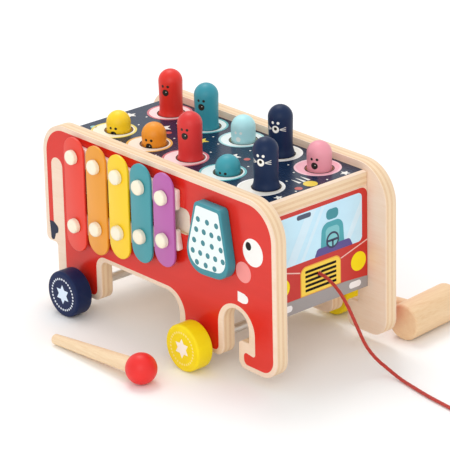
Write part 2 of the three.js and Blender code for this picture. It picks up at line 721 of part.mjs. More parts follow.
/** The least gap between turns of the coil, measured between points half a turn or more apart. */
function leastSelfGap(points, radius) {
  let least = Infinity;
  for (let i = 0; i < points.length; i += 1) {
    for (let j = i + COIL_STEPS_PER_TURN / 2; j < points.length; j += 1) {
      least = Math.min(least, points[i].distanceTo(points[j]) - 2 * radius);
    }
  }
  return least;
}

const coil = coilPoints();
const coilEnd = coil[coil.length - 1];
const coilLeaving = coilEnd.clone().sub(coil[coil.length - 2]).normalize();
const coilLength = coil.slice(1).reduce((sum, point, i) => sum + point.distanceTo(coil[i]), 0);
const runLength = new THREE.CatmullRomCurve3(routePoints, false, 'centripetal').getLength();
console.log(`least gap of the coil to itself: ${leastSelfGap(coil, CORD_RADIUS).toFixed(2)} mm`);
console.log(`cord length: run ${runLength.toFixed(1)} mm, coil ${coilLength.toFixed(1)} mm`);

function innerKnot() {
  const neckRadius = CORD_RADIUS;
  const ball = edgeArc(0, 0, KNOT_RADIUS, -90, 66, 6);
  ball[0] = [0, -KNOT_RADIUS];
  const neckStart = ball[ball.length - 1][1];
  const neckEnd = KNOT_RADIUS + END_PANEL_THICK;
  const profile = [...ball, [neckRadius, neckStart + 0.4], [neckRadius, neckEnd], [0, neckEnd]];
  return turned(profile, 12).rotateZ(-Math.PI / 2);
}

const knot = piece('cord_knot', innerKnot(), 'cord', 0.85);
knot.position.set(BOARD_FRONT - END_PANEL_THICK - KNOT_RADIUS, 0, CORD_Z);
toy.add(knot);
toy.add(piece('cord_run', cordRun(), 'cord', 0.85));
toy.add(piece('cord_coil', tubeThrough(coil, CORD_RADIUS, COIL_SIDES), 'cord', 0.85));
const endKnot = piece('cord_end_knot', new THREE.SphereGeometry(END_KNOT_RADIUS, 12, 8), 'cord', 0.85);
endKnot.position.copy(coilEnd).addScaledVector(coilLeaving, END_KNOT_RADIUS + FIT_GAP);
toy.add(endKnot);

// Mallets and beater

function malletHead() {
  const half = MALLET_HEAD_LENGTH / 2;
  const rim = MALLET_HEAD_RADIUS - MALLET_HEAD_EDGE;
  const profile = [
    [0, -half],
    ...edgeArc(rim, -half + MALLET_HEAD_EDGE, MALLET_HEAD_EDGE, -90, 0, 2),
    ...edgeArc(rim, half - MALLET_HEAD_EDGE, MALLET_HEAD_EDGE, 0, 90, 2),
    [0, half],
  ];
  const socketFloor = MALLET_HEAD_RADIUS - MALLET_SOCKET_DEPTH;
  const reach = 2 * MALLET_HEAD_RADIUS;
  const socket = rodAlongY(MALLET_HANDLE_RADIUS + FIT_GAP, socketFloor, reach, 16).rotateZ(-Math.PI / 2);
  return cutBy(turned(profile, 24), [socket]);
}

function malletHandle() {
  const start = MALLET_HEAD_RADIUS - MALLET_SOCKET_DEPTH + FIT_GAP;
  const end = MALLET_LENGTH - MALLET_HEAD_RADIUS;
  const edge = 1.2;
  const profile = [
    [0, start],
    [MALLET_HANDLE_RADIUS, start],
    ...edgeArc(MALLET_HANDLE_RADIUS - edge, end - edge, edge, 0, 90, 2),
    [0, end],
  ];
  return turned(profile, 16).rotateZ(-Math.PI / 2);
}

/** A loose piece on the floor: its handle end sinks until it touches, its head keeps its radius. */
function laidOnFloor(x, y, headRadius, handleRadius, reach, turn) {
  const group = new THREE.Group();
  group.position.set(x, y, headRadius);
  group.rotation.set(0, Math.asin((headRadius - handleRadius) / reach), turn, 'ZYX');
  toy.add(group);
  return group;
}

const MALLET_PLACES = [
  { name: 'mallet_a', x: REAR_X + MALLET_A_INSET, distance: MALLET_A_DISTANCE, turn: MALLET_A_TURN },
  { name: 'mallet_b', x: FRONT_X - MALLET_B_INSET, distance: MALLET_B_DISTANCE, turn: MALLET_B_TURN },
];
for (const { name, x, distance, turn } of MALLET_PLACES) {
  const reach = MALLET_LENGTH - MALLET_HEAD_RADIUS;
  const y = BODY_WIDTH / 2 + distance;
  const group = laidOnFloor(x, y, MALLET_HEAD_RADIUS, MALLET_HANDLE_RADIUS, reach, turn);
  group.add(piece(`${name}_head`, malletHead(), 'wood'));
  group.add(piece(`${name}_handle`, malletHandle(), 'wood'));
}

function beaterBall() {
  const bore = STICK_NECK_RADIUS + FIT_GAP;
  const mouth = Math.sqrt(BALL_RADIUS ** 2 - bore ** 2);
  const mouthDegrees = THREE.MathUtils.radToDeg(Math.acos(bore / BALL_RADIUS));
  const profile = [
    [0, mouth - BALL_SOCKET_DEPTH],
    [bore, mouth - BALL_SOCKET_DEPTH],
    ...edgeArc(0, 0, BALL_RADIUS, mouthDegrees, -90, 8).slice(0, -1),
    [0, -BALL_RADIUS],
  ];
  return turned(profile.reverse(), 20).rotateZ(-Math.PI / 2);
}

function beaterStick() {
  const mouth = Math.sqrt(BALL_RADIUS ** 2 - (STICK_NECK_RADIUS + FIT_GAP) ** 2);
  const start = mouth - BALL_SOCKET_DEPTH + FIT_GAP;
  const edge = 0.8;
  const profile = [
    [0, start],
    [STICK_NECK_RADIUS, start],
    ...edgeArc(STICK_RADIUS - edge, STICK_REACH - edge, edge, 0, 90, 2),
    [0, STICK_REACH],
  ];
  return turned(profile, 12).rotateZ(-Math.PI / 2);
}

const beater = laidOnFloor(BEATER_X, BEATER_Y, BALL_RADIUS, STICK_RADIUS, STICK_REACH, BEATER_TURN);
beater.add(piece('beater_ball', beaterBall(), 'red', 0.4));
beater.add(piece('beater_stick', beaterStick(), 'wood'));

export default toy;
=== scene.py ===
"""Looks of the wooden elephant bus.

A pull-along toy of printed plywood with moles to strike, chime bars, wheels, a red cord, two mallets
and a beater. Shapes are drawn in millimetres and become metres when a mesh is finished.
"""

import logging
import math
from dataclasses import dataclass, field
from enum import Enum
from typing import Any, Optional, Sequence, Union

import bmesh
import bpy
from mathutils import Matrix, Vector


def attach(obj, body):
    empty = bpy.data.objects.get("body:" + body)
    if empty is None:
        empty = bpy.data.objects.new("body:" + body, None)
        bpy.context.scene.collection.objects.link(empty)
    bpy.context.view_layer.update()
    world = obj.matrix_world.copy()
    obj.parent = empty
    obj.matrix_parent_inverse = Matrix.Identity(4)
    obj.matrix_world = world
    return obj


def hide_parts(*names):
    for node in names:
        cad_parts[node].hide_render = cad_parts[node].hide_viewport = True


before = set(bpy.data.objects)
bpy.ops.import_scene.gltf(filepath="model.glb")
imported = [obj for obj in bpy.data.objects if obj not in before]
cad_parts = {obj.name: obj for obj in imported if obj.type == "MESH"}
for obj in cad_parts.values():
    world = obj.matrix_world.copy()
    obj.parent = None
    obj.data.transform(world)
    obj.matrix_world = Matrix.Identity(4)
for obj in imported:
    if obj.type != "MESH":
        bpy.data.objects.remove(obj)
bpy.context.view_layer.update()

log = logging.getLogger("elephant_bus")
MM = 0.001
TOY = "toy"
GROOVE = "groove"

# Sizes that several pieces share, in millimetres.
PLY = 9.5
PANEL_FACE = 52.5
FRONT_FACE = 98.5
REAR_FACE = -96.5
BOX_FLOOR = 41.4
REAR_AXLE_X = -76.1
FRONT_AXLE_X = 45.8
AXLE_Z = 16.0
SIDE_GAP = 0.3
BASE_PLY = 5.0
GUIDE_FLOOR = 75.0
GUIDE_PLY = 6.0

# Edges of a turned piece that are sharper than this, in degrees, stay crisp.
TURNED_SMOOTH = 45.0

Corner = tuple[float, float, float]
Loop = Sequence[Corner]
Colour = tuple[float, float, float, float]


def linear(code: str) -> Colour:
    """The scene-linear colour of a display colour.

    Args:
        code: six hexadecimal digits, red first.

    Returns:
        Red, green, blue and a full alpha.
    """
    channels = [int(code[i:i + 2], 16) / 255 for i in (0, 2, 4)]
    red, green, blue = (c / 12.92 if c <= 0.04045 else ((c + 0.055) / 1.055) ** 2.4 for c in channels)
    return red, green, blue, 1.0


def shaded(code: str, factor: float, lift: float = 0.0) -> Colour:
    """A display colour made deeper or paler, as a scene-linear one.

    Args:
        code: six hexadecimal digits, red first.
        factor: what each channel is multiplied by.
        lift: what is added to each channel.

    Returns:
        Red, green, blue and a full alpha.
    """
    red, green, blue = (min(1.0, c * factor + lift) for c in linear(code)[:3])
    return red, green, blue, 1.0


class Axis(Enum):
    """A direction of the toy's frame, by its place in a vector."""

    X = 0
    Y = 1
    Z = 2

    def cell(self, across: float, along: float) -> tuple[float, float, float]:
        """The size of a noise cell that is stretched along this direction.

        Args:
            across: its size in the other two directions.
            along: its size in this direction.

        Returns:
            Sizes along X, Y and Z.
        """
        x, y, z = (along if axis is self else across for axis in Axis)
        return x, y, z


class Side(Enum):
    """The two outer sides of the toy, by the sign of their Y."""

    RIGHT = -1
    LEFT = 1


class Plane(Enum):
    """Where a flat shape is drawn: its two drawing directions and the way it grows thicker."""

    RIGHT = ((1, 0, 0), (0, 0, 1), (0, -1, 0))
    LEFT = ((1, 0, 0), (0, 0, 1), (0, 1, 0))
    TOP = ((1, 0, 0), (0, 1, 0), (0, 0, 1))
    FRONT = ((0, 1, 0), (0, 0, 1), (1, 0, 0))

    def matrix(self, level: float) -> Matrix:
        """The placing of a drawing.

        Args:
            level: the place of the drawing's base along the frame axis that it grows along.

        Returns:
            A matrix from drawing coordinates to the toy's frame.
        """
        u, v, w = (Vector(column) for column in self.value)
        turn = Matrix((u, v, w)).transposed().to_4x4()
        base = Vector(abs(c) * level for c in w)
        return Matrix.Translation(base) @ turn


class Value:
    """A shader socket that takes part in Python arithmetic."""

    def __init__(self, nodes: "NodeTree", socket: bpy.types.NodeSocket) -> None:
        """Wraps one output socket of a node tree."""
        self.nodes = nodes
        self.socket = socket

    def __add__(self, other: "Number") -> "Value":
        """Sum."""
        return self.nodes.math("ADD", self, other)

    __radd__ = __add__

    def __sub__(self, other: "Number") -> "Value":
        """Difference."""
        return self.nodes.math("SUBTRACT", self, other)

    def __rsub__(self, other: "Number") -> "Value":
        """Difference the other way round."""
        return self.nodes.math("SUBTRACT", other, self)

    def __mul__(self, other: "Number") -> "Value":
        """Product."""
        return self.nodes.math("MULTIPLY", self, other)

    __rmul__ = __mul__

    def __abs__(self) -> "Value":
        """Size without sign."""
        return self.nodes.math("ABSOLUTE", self)

    def least(self, other: "Number") -> "Value":
        """The smaller of the two."""
        return self.nodes.math("MINIMUM", self, other)

    def most(self, other: "Number") -> "Value":
        """The larger of the two."""
        return self.nodes.math("MAXIMUM", self, other)

    def fraction(self) -> "Value":
        """What is left above the whole number."""
        return self.nodes.math("FRACT", self)

    def below(self, limit: float, soft: float = 0.12) -> "Value":
        """A mask that is one under a limit.

        Args:
            limit: the value at which the mask is one half.
            soft: the width of the change.

        Returns:
            The mask, from zero to one.
        """
        return self.nodes.math("MULTIPLY_ADD", self, -1 / soft, limit / soft + 0.5, clamp=True)

    def above(self, limit: float, soft: float = 0.12) -> "Value":
        """A mask that is one over a limit; see below."""
        return self.nodes.math("MULTIPLY_ADD", self, 1 / soft, 0.5 - limit / soft, clamp=True)


Number = Union[Value, float]
Paintable = Union[Value, Colour]


class NodeTree:
    """A node tree under construction."""

    def __init__(self, tree: bpy.types.NodeTree) -> None:
        """Takes up a tree that nodes are added to."""
        self.tree = tree

    def node(self, kind: str, settings: Optional[dict[str, Any]] = None,
             inputs: Optional[dict[Any, Any]] = None) -> bpy.types.Node:
        """Adds any node.

        Args:
            kind: the node's type.
            settings: its properties, which are set first.
            inputs: values or links of its sockets, by name or place.

        Returns:
            The new node.
        """
        made = self.tree.nodes.new(kind)
        for key, value in (settings or {}).items():
            setattr(made, key, value)
        for key, value in (inputs or {}).items():
            self.feed(made.inputs[key], value)
        return made

    def feed(self, socket: bpy.types.NodeSocket, value: Any) -> None:
        """Links a value to a socket, or sets a plain one.

        Args:
            socket: the input.
            value: a Value, an output socket, or plain numbers.
        """
        if isinstance(value, Value):
            self.tree.links.new(value.socket, socket)
        elif isinstance(value, bpy.types.NodeSocket):
            self.tree.links.new(value, socket)
        else:
            socket.default_value = value

    def math(self, operation: str, *values: Number, clamp: bool = False) -> Value:
        """A Math node.

        Args:
            operation: the node's operation.
            values: its one to three values.
            clamp: whether the result stays from zero to one.

        Returns:
            The result.
        """
        settings = {"operation": operation, "use_clamp": clamp}
        made = self.node("ShaderNodeMath", settings, dict(enumerate(values)))
        return Value(self, made.outputs[0])


class Shader(NodeTree):
    """A material under construction, with its Principled shader and the point being shaded."""

    def __init__(self, name: str, **constants: float) -> None:
        """Starts a material.

        Args:
            name: the material's name.
            constants: values of the Principled shader's sockets, with _ for a space.
        """
        self.material = bpy.data.materials.new(name)
        self.material.use_nodes = True
        super().__init__(self.material.node_tree)
        self.principled = self.tree.nodes["Principled BSDF"]
        for key, value in constants.items():
            self.principled.inputs[key.replace("_", " ")].default_value = value
        raw = self.node("ShaderNodeTexCoord").outputs["Object"]
        scaled = self.node("ShaderNodeVectorMath", {"operation": "SCALE"}, {0: raw, "Scale": 1 / MM})
        self.point = scaled.outputs[0]
        split = self.node("ShaderNodeSeparateXYZ", None, {0: self.point})
        self.xyz = [Value(self, split.outputs[axis.value]) for axis in Axis]

    def mix(self, mask: Number, under: Paintable, over: Paintable) -> Value:
        """One colour laid over another.

        Args:
            mask: where the upper colour shows.
            under: the lower colour.
            over: the upper colour.

        Returns:
            The mixed colour.
        """
        made = self.node("ShaderNodeMix", {"data_type": "RGBA"}, {0: mask, 6: under, 7: over})
        return Value(self, made.outputs[2])

    def noise(self, size: tuple[float, float, float], detail: float, turbulence: float = 0.0) -> Value:
        """A noise whose cells have a given size.

        Args:
            size: length of a cell along X, Y and Z, in millimetres.
            detail: number of finer layers.
            turbulence: how far it is stirred.

        Returns:
            The noise, from zero to one around one half.
        """
        scale = tuple(1 / s for s in size)
        mapped = self.node("ShaderNodeMapping", {"vector_type": "POINT"}, {0: self.point, "Scale": scale})
        made = self.node("ShaderNodeTexNoise", None, {
            "Vector": mapped.outputs[0], "Scale": 1.0, "Detail": detail, "Distortion": turbulence})
        return Value(self, made.outputs[0])

    def near(self, place: Vector, radius: float) -> Value:
        """A round spot about a place, as a mask."""
        made = self.node("ShaderNodeVectorMath", {"operation": "DISTANCE"}, {0: self.point, 1: place})
        return Value(self, made.outputs["Value"]).below(radius)

    def bump(self, height: Value, depth: float) -> None:
        """Raises the surface by a height, depth being its full rise in millimetres."""
        made = self.node("ShaderNodeBump", None, {"Strength": 1.0, "Distance": depth * MM, "Height": height})
        self.feed(self.principled.inputs["Normal"], made.outputs[0])

    def set(self, socket: str, value: Any) -> None:
        """Feeds a socket of the Principled shader."""
        self.feed(self.principled.inputs[socket], value)


@dataclass(frozen=True)
class Finish:
    """A named surface finish; its material is made once."""

    name: str

    def paint(self) -> Shader:
        """Builds the shader; each finish has its own."""
        raise NotImplementedError

    def material(self) -> bpy.types.Material:
        """The finish as a material."""
        known = bpy.data.materials.get(self.name)
        return known if known else self.paint().material


@dataclass(frozen=True)
class Paint(Finish):
    """Lacquer or print on wood: an even colour with a faint grain and a satin skin."""

    colour: str = "ffffff"
    roughness: float = 0.38
    mottling: float = 0.06
    grain: Axis = Axis.X
    ripple: float = 0.03
    shine: float = 0.5

    CLOUD = (9.0, 60.0)
    STREAK = (0.7, 7.0)
    DEEPER = 2.2
    LIFT = 0.006
    SPREAD = 0.12

    def tone(self, shader: Shader) -> Value:
        """The colour with its slight unevenness.

        Args:
            shader: the material under construction.

        Returns:
            The colour.
        """
        cloud = shader.noise(self.grain.cell(*self.CLOUD), 3.0, 0.4)
        deep = shaded(self.colour, 1 - self.DEEPER * self.mottling)
        pale = shaded(self.colour, 1 + self.mottling, self.LIFT)
        return shader.mix(cloud, deep, pale)

    def skin(self, shader: Shader) -> None:
        """Gives the lacquer its roughness and its fine ripple.

        Args:
            shader: the material under construction.
        """
        streak = shader.noise(self.grain.cell(*self.STREAK), 2.0)
        shader.set("Roughness", streak * self.SPREAD + (self.roughness - self.SPREAD / 2))
        shader.bump(streak, self.ripple)

    def dress(self, shader: Shader, tone: Value) -> None:
        """Adds the printed marks; plain paint has none.

        Args:
            shader: the material under construction.
            tone: the colour under the marks.
        """
        shader.set("Base Color", tone)

    def paint(self) -> Shader:
        """Builds the shader.

        Returns:
            The finished shader.
        """
        shader = Shader(self.name, Specular_IOR_Level=self.shine)
        self.dress(shader, self.tone(shader))
        self.skin(shader)
        return shader


@dataclass(frozen=True)
class Timber(Finish):
    """Sanded pale wood with its grain along one axis."""

    light: str = "f3d9b6"
    dark: str = "dfb88a"
    grain: Axis = Axis.X
    ring: float = 5.0
    roughness: float = 0.5

    RING_STRETCH = 16
    FIBRE = (0.45, 9.0)
    FIGURE_SHARE = 0.55
    FIBRE_SHARE = 0.3
    FIBRE_ROUGHNESS = 0.14
    FIBRE_DEPTH = 0.05
    OIL = {"Coat_Weight": 0.06, "Coat_Roughness": 0.3}

    def figure(self, shader: Shader) -> tuple[Value, Value]:
        """The broad figure and the fine fibres of the wood.

        Args:
            shader: the material under construction.

        Returns:
            The figure's darkness and the fibres' darkness, from zero to one.
        """
        figure = shader.noise(self.grain.cell(self.ring, self.ring * self.RING_STRETCH), 4.0, 0.9)
        fibre = shader.noise(self.grain.cell(*self.FIBRE), 2.0)
        return figure.above(0.5, 0.55), fibre.above(0.55, 0.35)

    def tone(self, shader: Shader, figure: Value, fibre: Value) -> Value:
        """The colour of a face along the grain.

        Args:
            shader: the material under construction.
            figure: the figure's darkness.
            fibre: the fibres' darkness.

        Returns:
            The colour.
        """
        darkness = figure * self.FIGURE_SHARE + fibre * self.FIBRE_SHARE
        return shader.mix(darkness, linear(self.light), linear(self.dark))

    def paint(self) -> Shader:
        """Builds the shader.

        Returns:
            The finished shader.
        """
        shader = Shader(self.name, **self.OIL)
        figure, fibre = self.figure(shader)
        shader.set("Base Color", self.tone(shader, figure, fibre))
        shader.set("Roughness", fibre * self.FIBRE_ROUGHNESS + self.roughness)
        shader.bump(fibre, self.FIBRE_DEPTH)
        return shader


@dataclass(frozen=True)
class Plywood(Timber):
    """Veneers laid crosswise: clean faces, and stripes with end grain along the edges."""

    across: Axis = Axis.Y
    start: float = 0.0
    thickness: float = PLY
    veneers: int = 5
    edge_light: str = "f0d5b2"
    edge_dark: str = "e5c29a"
    glue: str = "b98a58"

    FACE_SKIN = 0.35
    PORE = (1.1, 0.8, 1.1)
    FIGURE_SHARE = 0.5
    FIBRE_SHARE = 0.28
    FIBRE_ROUGHNESS = 0.12
    FIBRE_DEPTH = 0.06
    CROSS_SHARE = 0.7
    CROSS_ROUGHNESS = 0.08
    PORE_SHARE = 0.3
    SEAM_SHARE = 0.15

    def paint(self) -> Shader:
        """Builds the shader.

        Returns:
            The finished shader.
        """
        shader = Shader(self.name, **self.OIL)
        figure, fibre = self.figure(shader)
        face = self.tone(shader, figure, fibre)
        depth = (shader.xyz[self.across.value] - self.start) * (self.veneers / self.thickness)
        cross = abs((depth * 0.5).fraction() - 0.5).below(0.25, 0.06)
        seam = abs(depth.fraction() - 0.5).above(0.47, 0.05)
        inside = abs(depth - self.veneers / 2).below(self.veneers / 2 - self.FACE_SKIN, 0.2)
        pores = shader.noise(self.PORE, 2.0).above(0.56, 0.2)
        ends = cross * self.CROSS_SHARE + pores * cross * self.PORE_SHARE
        stripe = shader.mix(ends, linear(self.edge_light), linear(self.edge_dark))
        stripe = shader.mix(seam * self.SEAM_SHARE, stripe, linear(self.glue))
        shader.set("Base Color", shader.mix(inside, face, stripe))
        rough = fibre * self.FIBRE_ROUGHNESS + cross * self.CROSS_ROUGHNESS
        shader.set("Roughness", rough + self.roughness)
        shader.bump(fibre * 0.6 + pores * cross * inside * 0.4, self.FIBRE_DEPTH)
        return shader


class Expression(Enum):
    """The printed faces of the moles."""

    BUTTON = "dark eyes and a dark nose"
    WHISKERS = "white eyes, muzzle and whiskers"
    FAINT = "pale eyes and nose"


@dataclass(frozen=True)
class MolePaint(Paint):
    """A mole's colour with its small printed face."""

    expression: Expression = Expression.BUTTON
    centre: tuple[float, float] = (0.0, 0.0)
    top: float = 0.0
    body_radius: float = 8.2
    facing_degrees: float = 23.0
    eye_drop: float = 10.0
    eye_spacing: float = 3.8
    eye_radius: float = 0.95
    nose_drop: float = 14.4
    nose_radius: float = 2.35
    faint_nose_radius: float = 1.7
    muzzle_radius: float = 2.5
    muzzle_nose_radius: float = 1.15
    muzzle_nose_lift: float = 0.4
    glint_radius: float = 0.34
    glint_aside: float = 0.55
    glint_lift: float = 0.5
    whisker_span: tuple[float, float] = (2.9, 6.2)
    whisker_width: float = 0.22
    whisker_strength: float = 0.85
    faint_strength: float = 0.7

    WHISKER_SLOPES = (-0.34, 0.02, 0.36)
    WHISKER_ROOT = 2.4
    DARK = linear("17130f")
    WHITE = linear("f7f5ee")

    def on_skin(self, aside: float, drop: float) -> Vector:
        """A point of the mole's skin.

        Args:
            aside: distance from the middle of the face, round the body.
            drop: distance below the mole's top.

        Returns:
            The point in the toy's frame.
        """
        angle = math.radians(self.facing_degrees) + aside / self.body_radius
        x = self.centre[0] + self.body_radius * math.sin(angle)
        y = self.centre[1] - self.body_radius * math.cos(angle)
        return Vector((x, y, self.top - drop))

    def whiskers(self, shader: Shader) -> Value:
        """Three fine lines on each side of the muzzle.

        Args:
            shader: the material under construction.

        Returns:
            The lines as a mask.
        """
        angle = math.radians(self.facing_degrees)
        x = shader.xyz[0] - self.centre[0]
        y = shader.xyz[1] - self.centre[1]
        aside = abs(x * math.cos(angle) + y * math.sin(angle))
        front = (x * math.sin(angle) - y * math.cos(angle)).above(0.5)
        rise = shader.xyz[2] - (self.top - self.nose_drop)
        near, far = self.whisker_span
        span = aside.above(near, 0.3) * aside.below(far, 0.3)
        lines = [abs(rise - (aside - self.WHISKER_ROOT) * slope).below(self.whisker_width, 0.16)
                 for slope in self.WHISKER_SLOPES]
        return lines[0].most(lines[1]).most(lines[2]) * span * front

    def dress(self, shader: Shader, tone: Value) -> None:
        """Adds the face.

        Args:
            shader: the material under construction.
            tone: the mole's colour.
        """
        aside = self.eye_spacing / 2
        eyes = [shader.near(self.on_skin(s * aside, self.eye_drop), self.eye_radius) for s in (-1, 1)]
        both = eyes[0].most(eyes[1])
        nose = self.on_skin(0, self.nose_drop)
        if self.expression is Expression.WHISKERS:
            muzzle = shader.near(nose, self.muzzle_radius)
            pale = both.most(muzzle).most(self.whiskers(shader) * self.whisker_strength)
            tone = shader.mix(pale, tone, self.WHITE)
            tip = self.on_skin(0, self.nose_drop - self.muzzle_nose_lift)
            tone = shader.mix(shader.near(tip, self.muzzle_nose_radius), tone, self.DARK)
        elif self.expression is Expression.FAINT:
            pale = both.most(shader.near(nose, self.faint_nose_radius))
            tone = shader.mix(pale * self.faint_strength, tone, self.WHITE)
        else:
            tone = shader.mix(both.most(shader.near(nose, self.nose_radius)), tone, self.DARK)
            glint = self.on_skin(self.glint_aside, self.nose_drop - self.glint_lift)
            tone = shader.mix(shader.near(glint, self.glint_radius), tone, self.WHITE)
        shader.set("Base Color", tone)


@dataclass(frozen=True)
class WheelPaint(Paint):
    """A wheel's colour, with a printed star and a ring of stitches on its outer face."""

    centre: tuple[float, float] = (0.0, 0.0)
    face: float = 71.2
    star: str = "dbeafb"
    stitches: str = "eaf2fb"
    stitch_strength: float = 0.9
    star_radius: float = 6.9
    ring_radius: float = 10.9
    ring_width: float = 1.5
    stitch_count: int = 30
    stitch_length: float = 1.45

    def star_mask(self, u: Value, v: Value) -> Value:
        """A six-pointed star of two triangles.

        Args:
            u: distance from the wheel's middle, along the toy.
            v: distance from the wheel's middle, upwards.

        Returns:
            The star as a mask.
        """
        lean = u * (math.sqrt(3) / 2)
        up = v.most(lean - v * 0.5).most(0 - lean - v * 0.5)
        down = (0 - v).most(lean + v * 0.5).most(v * 0.5 - lean)
        return up.least(down).below(self.star_radius / 2)

    def dress(self, shader: Shader, tone: Value) -> None:
        """Adds the stitches and the star.

        Args:
            shader: the material under construction.
            tone: the wheel's colour.
        """
        u = shader.xyz[0] - self.centre[0]
        v = shader.xyz[2] - self.centre[1]
        outer = abs(shader.xyz[1]).above(self.face, 0.1)
        radius = shader.math("SQRT", u * u + v * v)
        turn = shader.math("ARCTAN2", v, u) * (self.stitch_count / (2 * math.pi))
        spacing = 2 * math.pi * self.ring_radius / self.stitch_count
        along = (turn.fraction() - 0.5) * (2 * spacing / self.stitch_length)
        across = (radius - self.ring_radius) * (2 / self.ring_width)
        stitch = shader.math("SQRT", along * along + across * across).below(1.0, 0.25)
        tone = shader.mix(stitch * outer * self.stitch_strength, tone, linear(self.stitches))
        shader.set("Base Color", shader.mix(self.star_mask(u, v) * outer, tone, linear(self.star)))


@dataclass(frozen=True)
class Enamel(Finish):
    """Baked enamel on a steel chime bar."""

    colour: str = "ffffff"

    def paint(self) -> Shader:
        """Builds the shader.

        Returns:
            The finished shader.
        """
        shader = Shader(self.name, Specular_IOR_Level=0.5)
        cloud = shader.noise(Axis.Z.cell(14.0, 30.0), 2.0)
        fleck = shader.noise((0.5, 0.5, 0.5), 2.0)
        shader.set("Base Color", shader.mix(cloud, shaded(self.colour, 0.9), linear(self.colour)))
        shader.set("Roughness", fleck * 0.1 + 0.28)
        shader.bump(fleck, 0.02)
        return shader


@dataclass(frozen=True)
class Steel(Finish):
    """Drawn steel rod with fine lines along it."""

    dark: str = "cfccc6"
    light: str = "e8e6e1"

    def paint(self) -> Shader:
        """Builds the shader.

        Returns:
            The finished shader.
        """
        shader = Shader(self.name, Metallic=1.0)
        line = shader.noise(Axis.Y.cell(0.25, 30.0), 2.0)
        shader.set("Base Color", shader.mix(line, linear(self.dark), linear(self.light)))
        shader.set("Roughness", line * 0.2 + 0.35)
        return shader


@dataclass(frozen=True)
class Felt(Finish):
    """Pressed grey felt."""

    dark: str = "4a4541"
    light: str = "6a645f"

    def paint(self) -> Shader:
        """Builds the shader.

        Returns:
            The finished shader.
        """
        shader = Shader(self.name, Sheen_Weight=0.4, Roughness=0.95)
        hair = shader.noise((0.6, 0.6, 0.6), 4.0, 1.5)
        shader.set("Base Color", shader.mix(hair, linear(self.dark), linear(self.light)))
        shader.bump(hair, 0.3)
        return shader


@dataclass(frozen=True)
class Gloss(Finish):
    """Moulded plastic of the bar screws' caps."""

    colour: str = "f8f3df"

    def paint(self) -> Shader:
        """Builds the shader.

        Returns:
            The finished shader.
        """
        shader = Shader(self.name, Coat_Weight=0.2, Coat_Roughness=0.12)
        cloud = shader.noise((3.0, 3.0, 3.0), 2.0)
        shader.set("Base Color", shader.mix(cloud, shaded(self.colour, 0.93), linear(self.colour)))
        shader.set("Roughness", cloud * 0.1 + 0.24)
        return shader


@dataclass(frozen=True)
class Twine(Finish):
    """Twisted cotton cord with a nap of fibres, darker in the grooves between its strands as painted shade.
    """

    colour: str = "d23b2c"

    def paint(self) -> Shader:
        """Builds the shader.

        Returns:
            The finished shader.
        """
        shader = Shader(self.name, Sheen_Weight=0.25, Roughness=0.85)
        stored = shader.node("ShaderNodeAttribute", {"attribute_name": GROOVE})
        groove = Value(shader, stored.outputs["Fac"])
        hair = shader.noise((0.35, 0.35, 0.35), 3.0, 1.0)
        # Darker where the cord dips into a groove: painted shade between the strands.
        tone = shader.mix(groove * 0.7 + hair * 0.3, linear(self.colour), shaded(self.colour, 0.45))
        shader.set("Base Color", tone)
        shader.bump(hair, 0.12)
        return shader


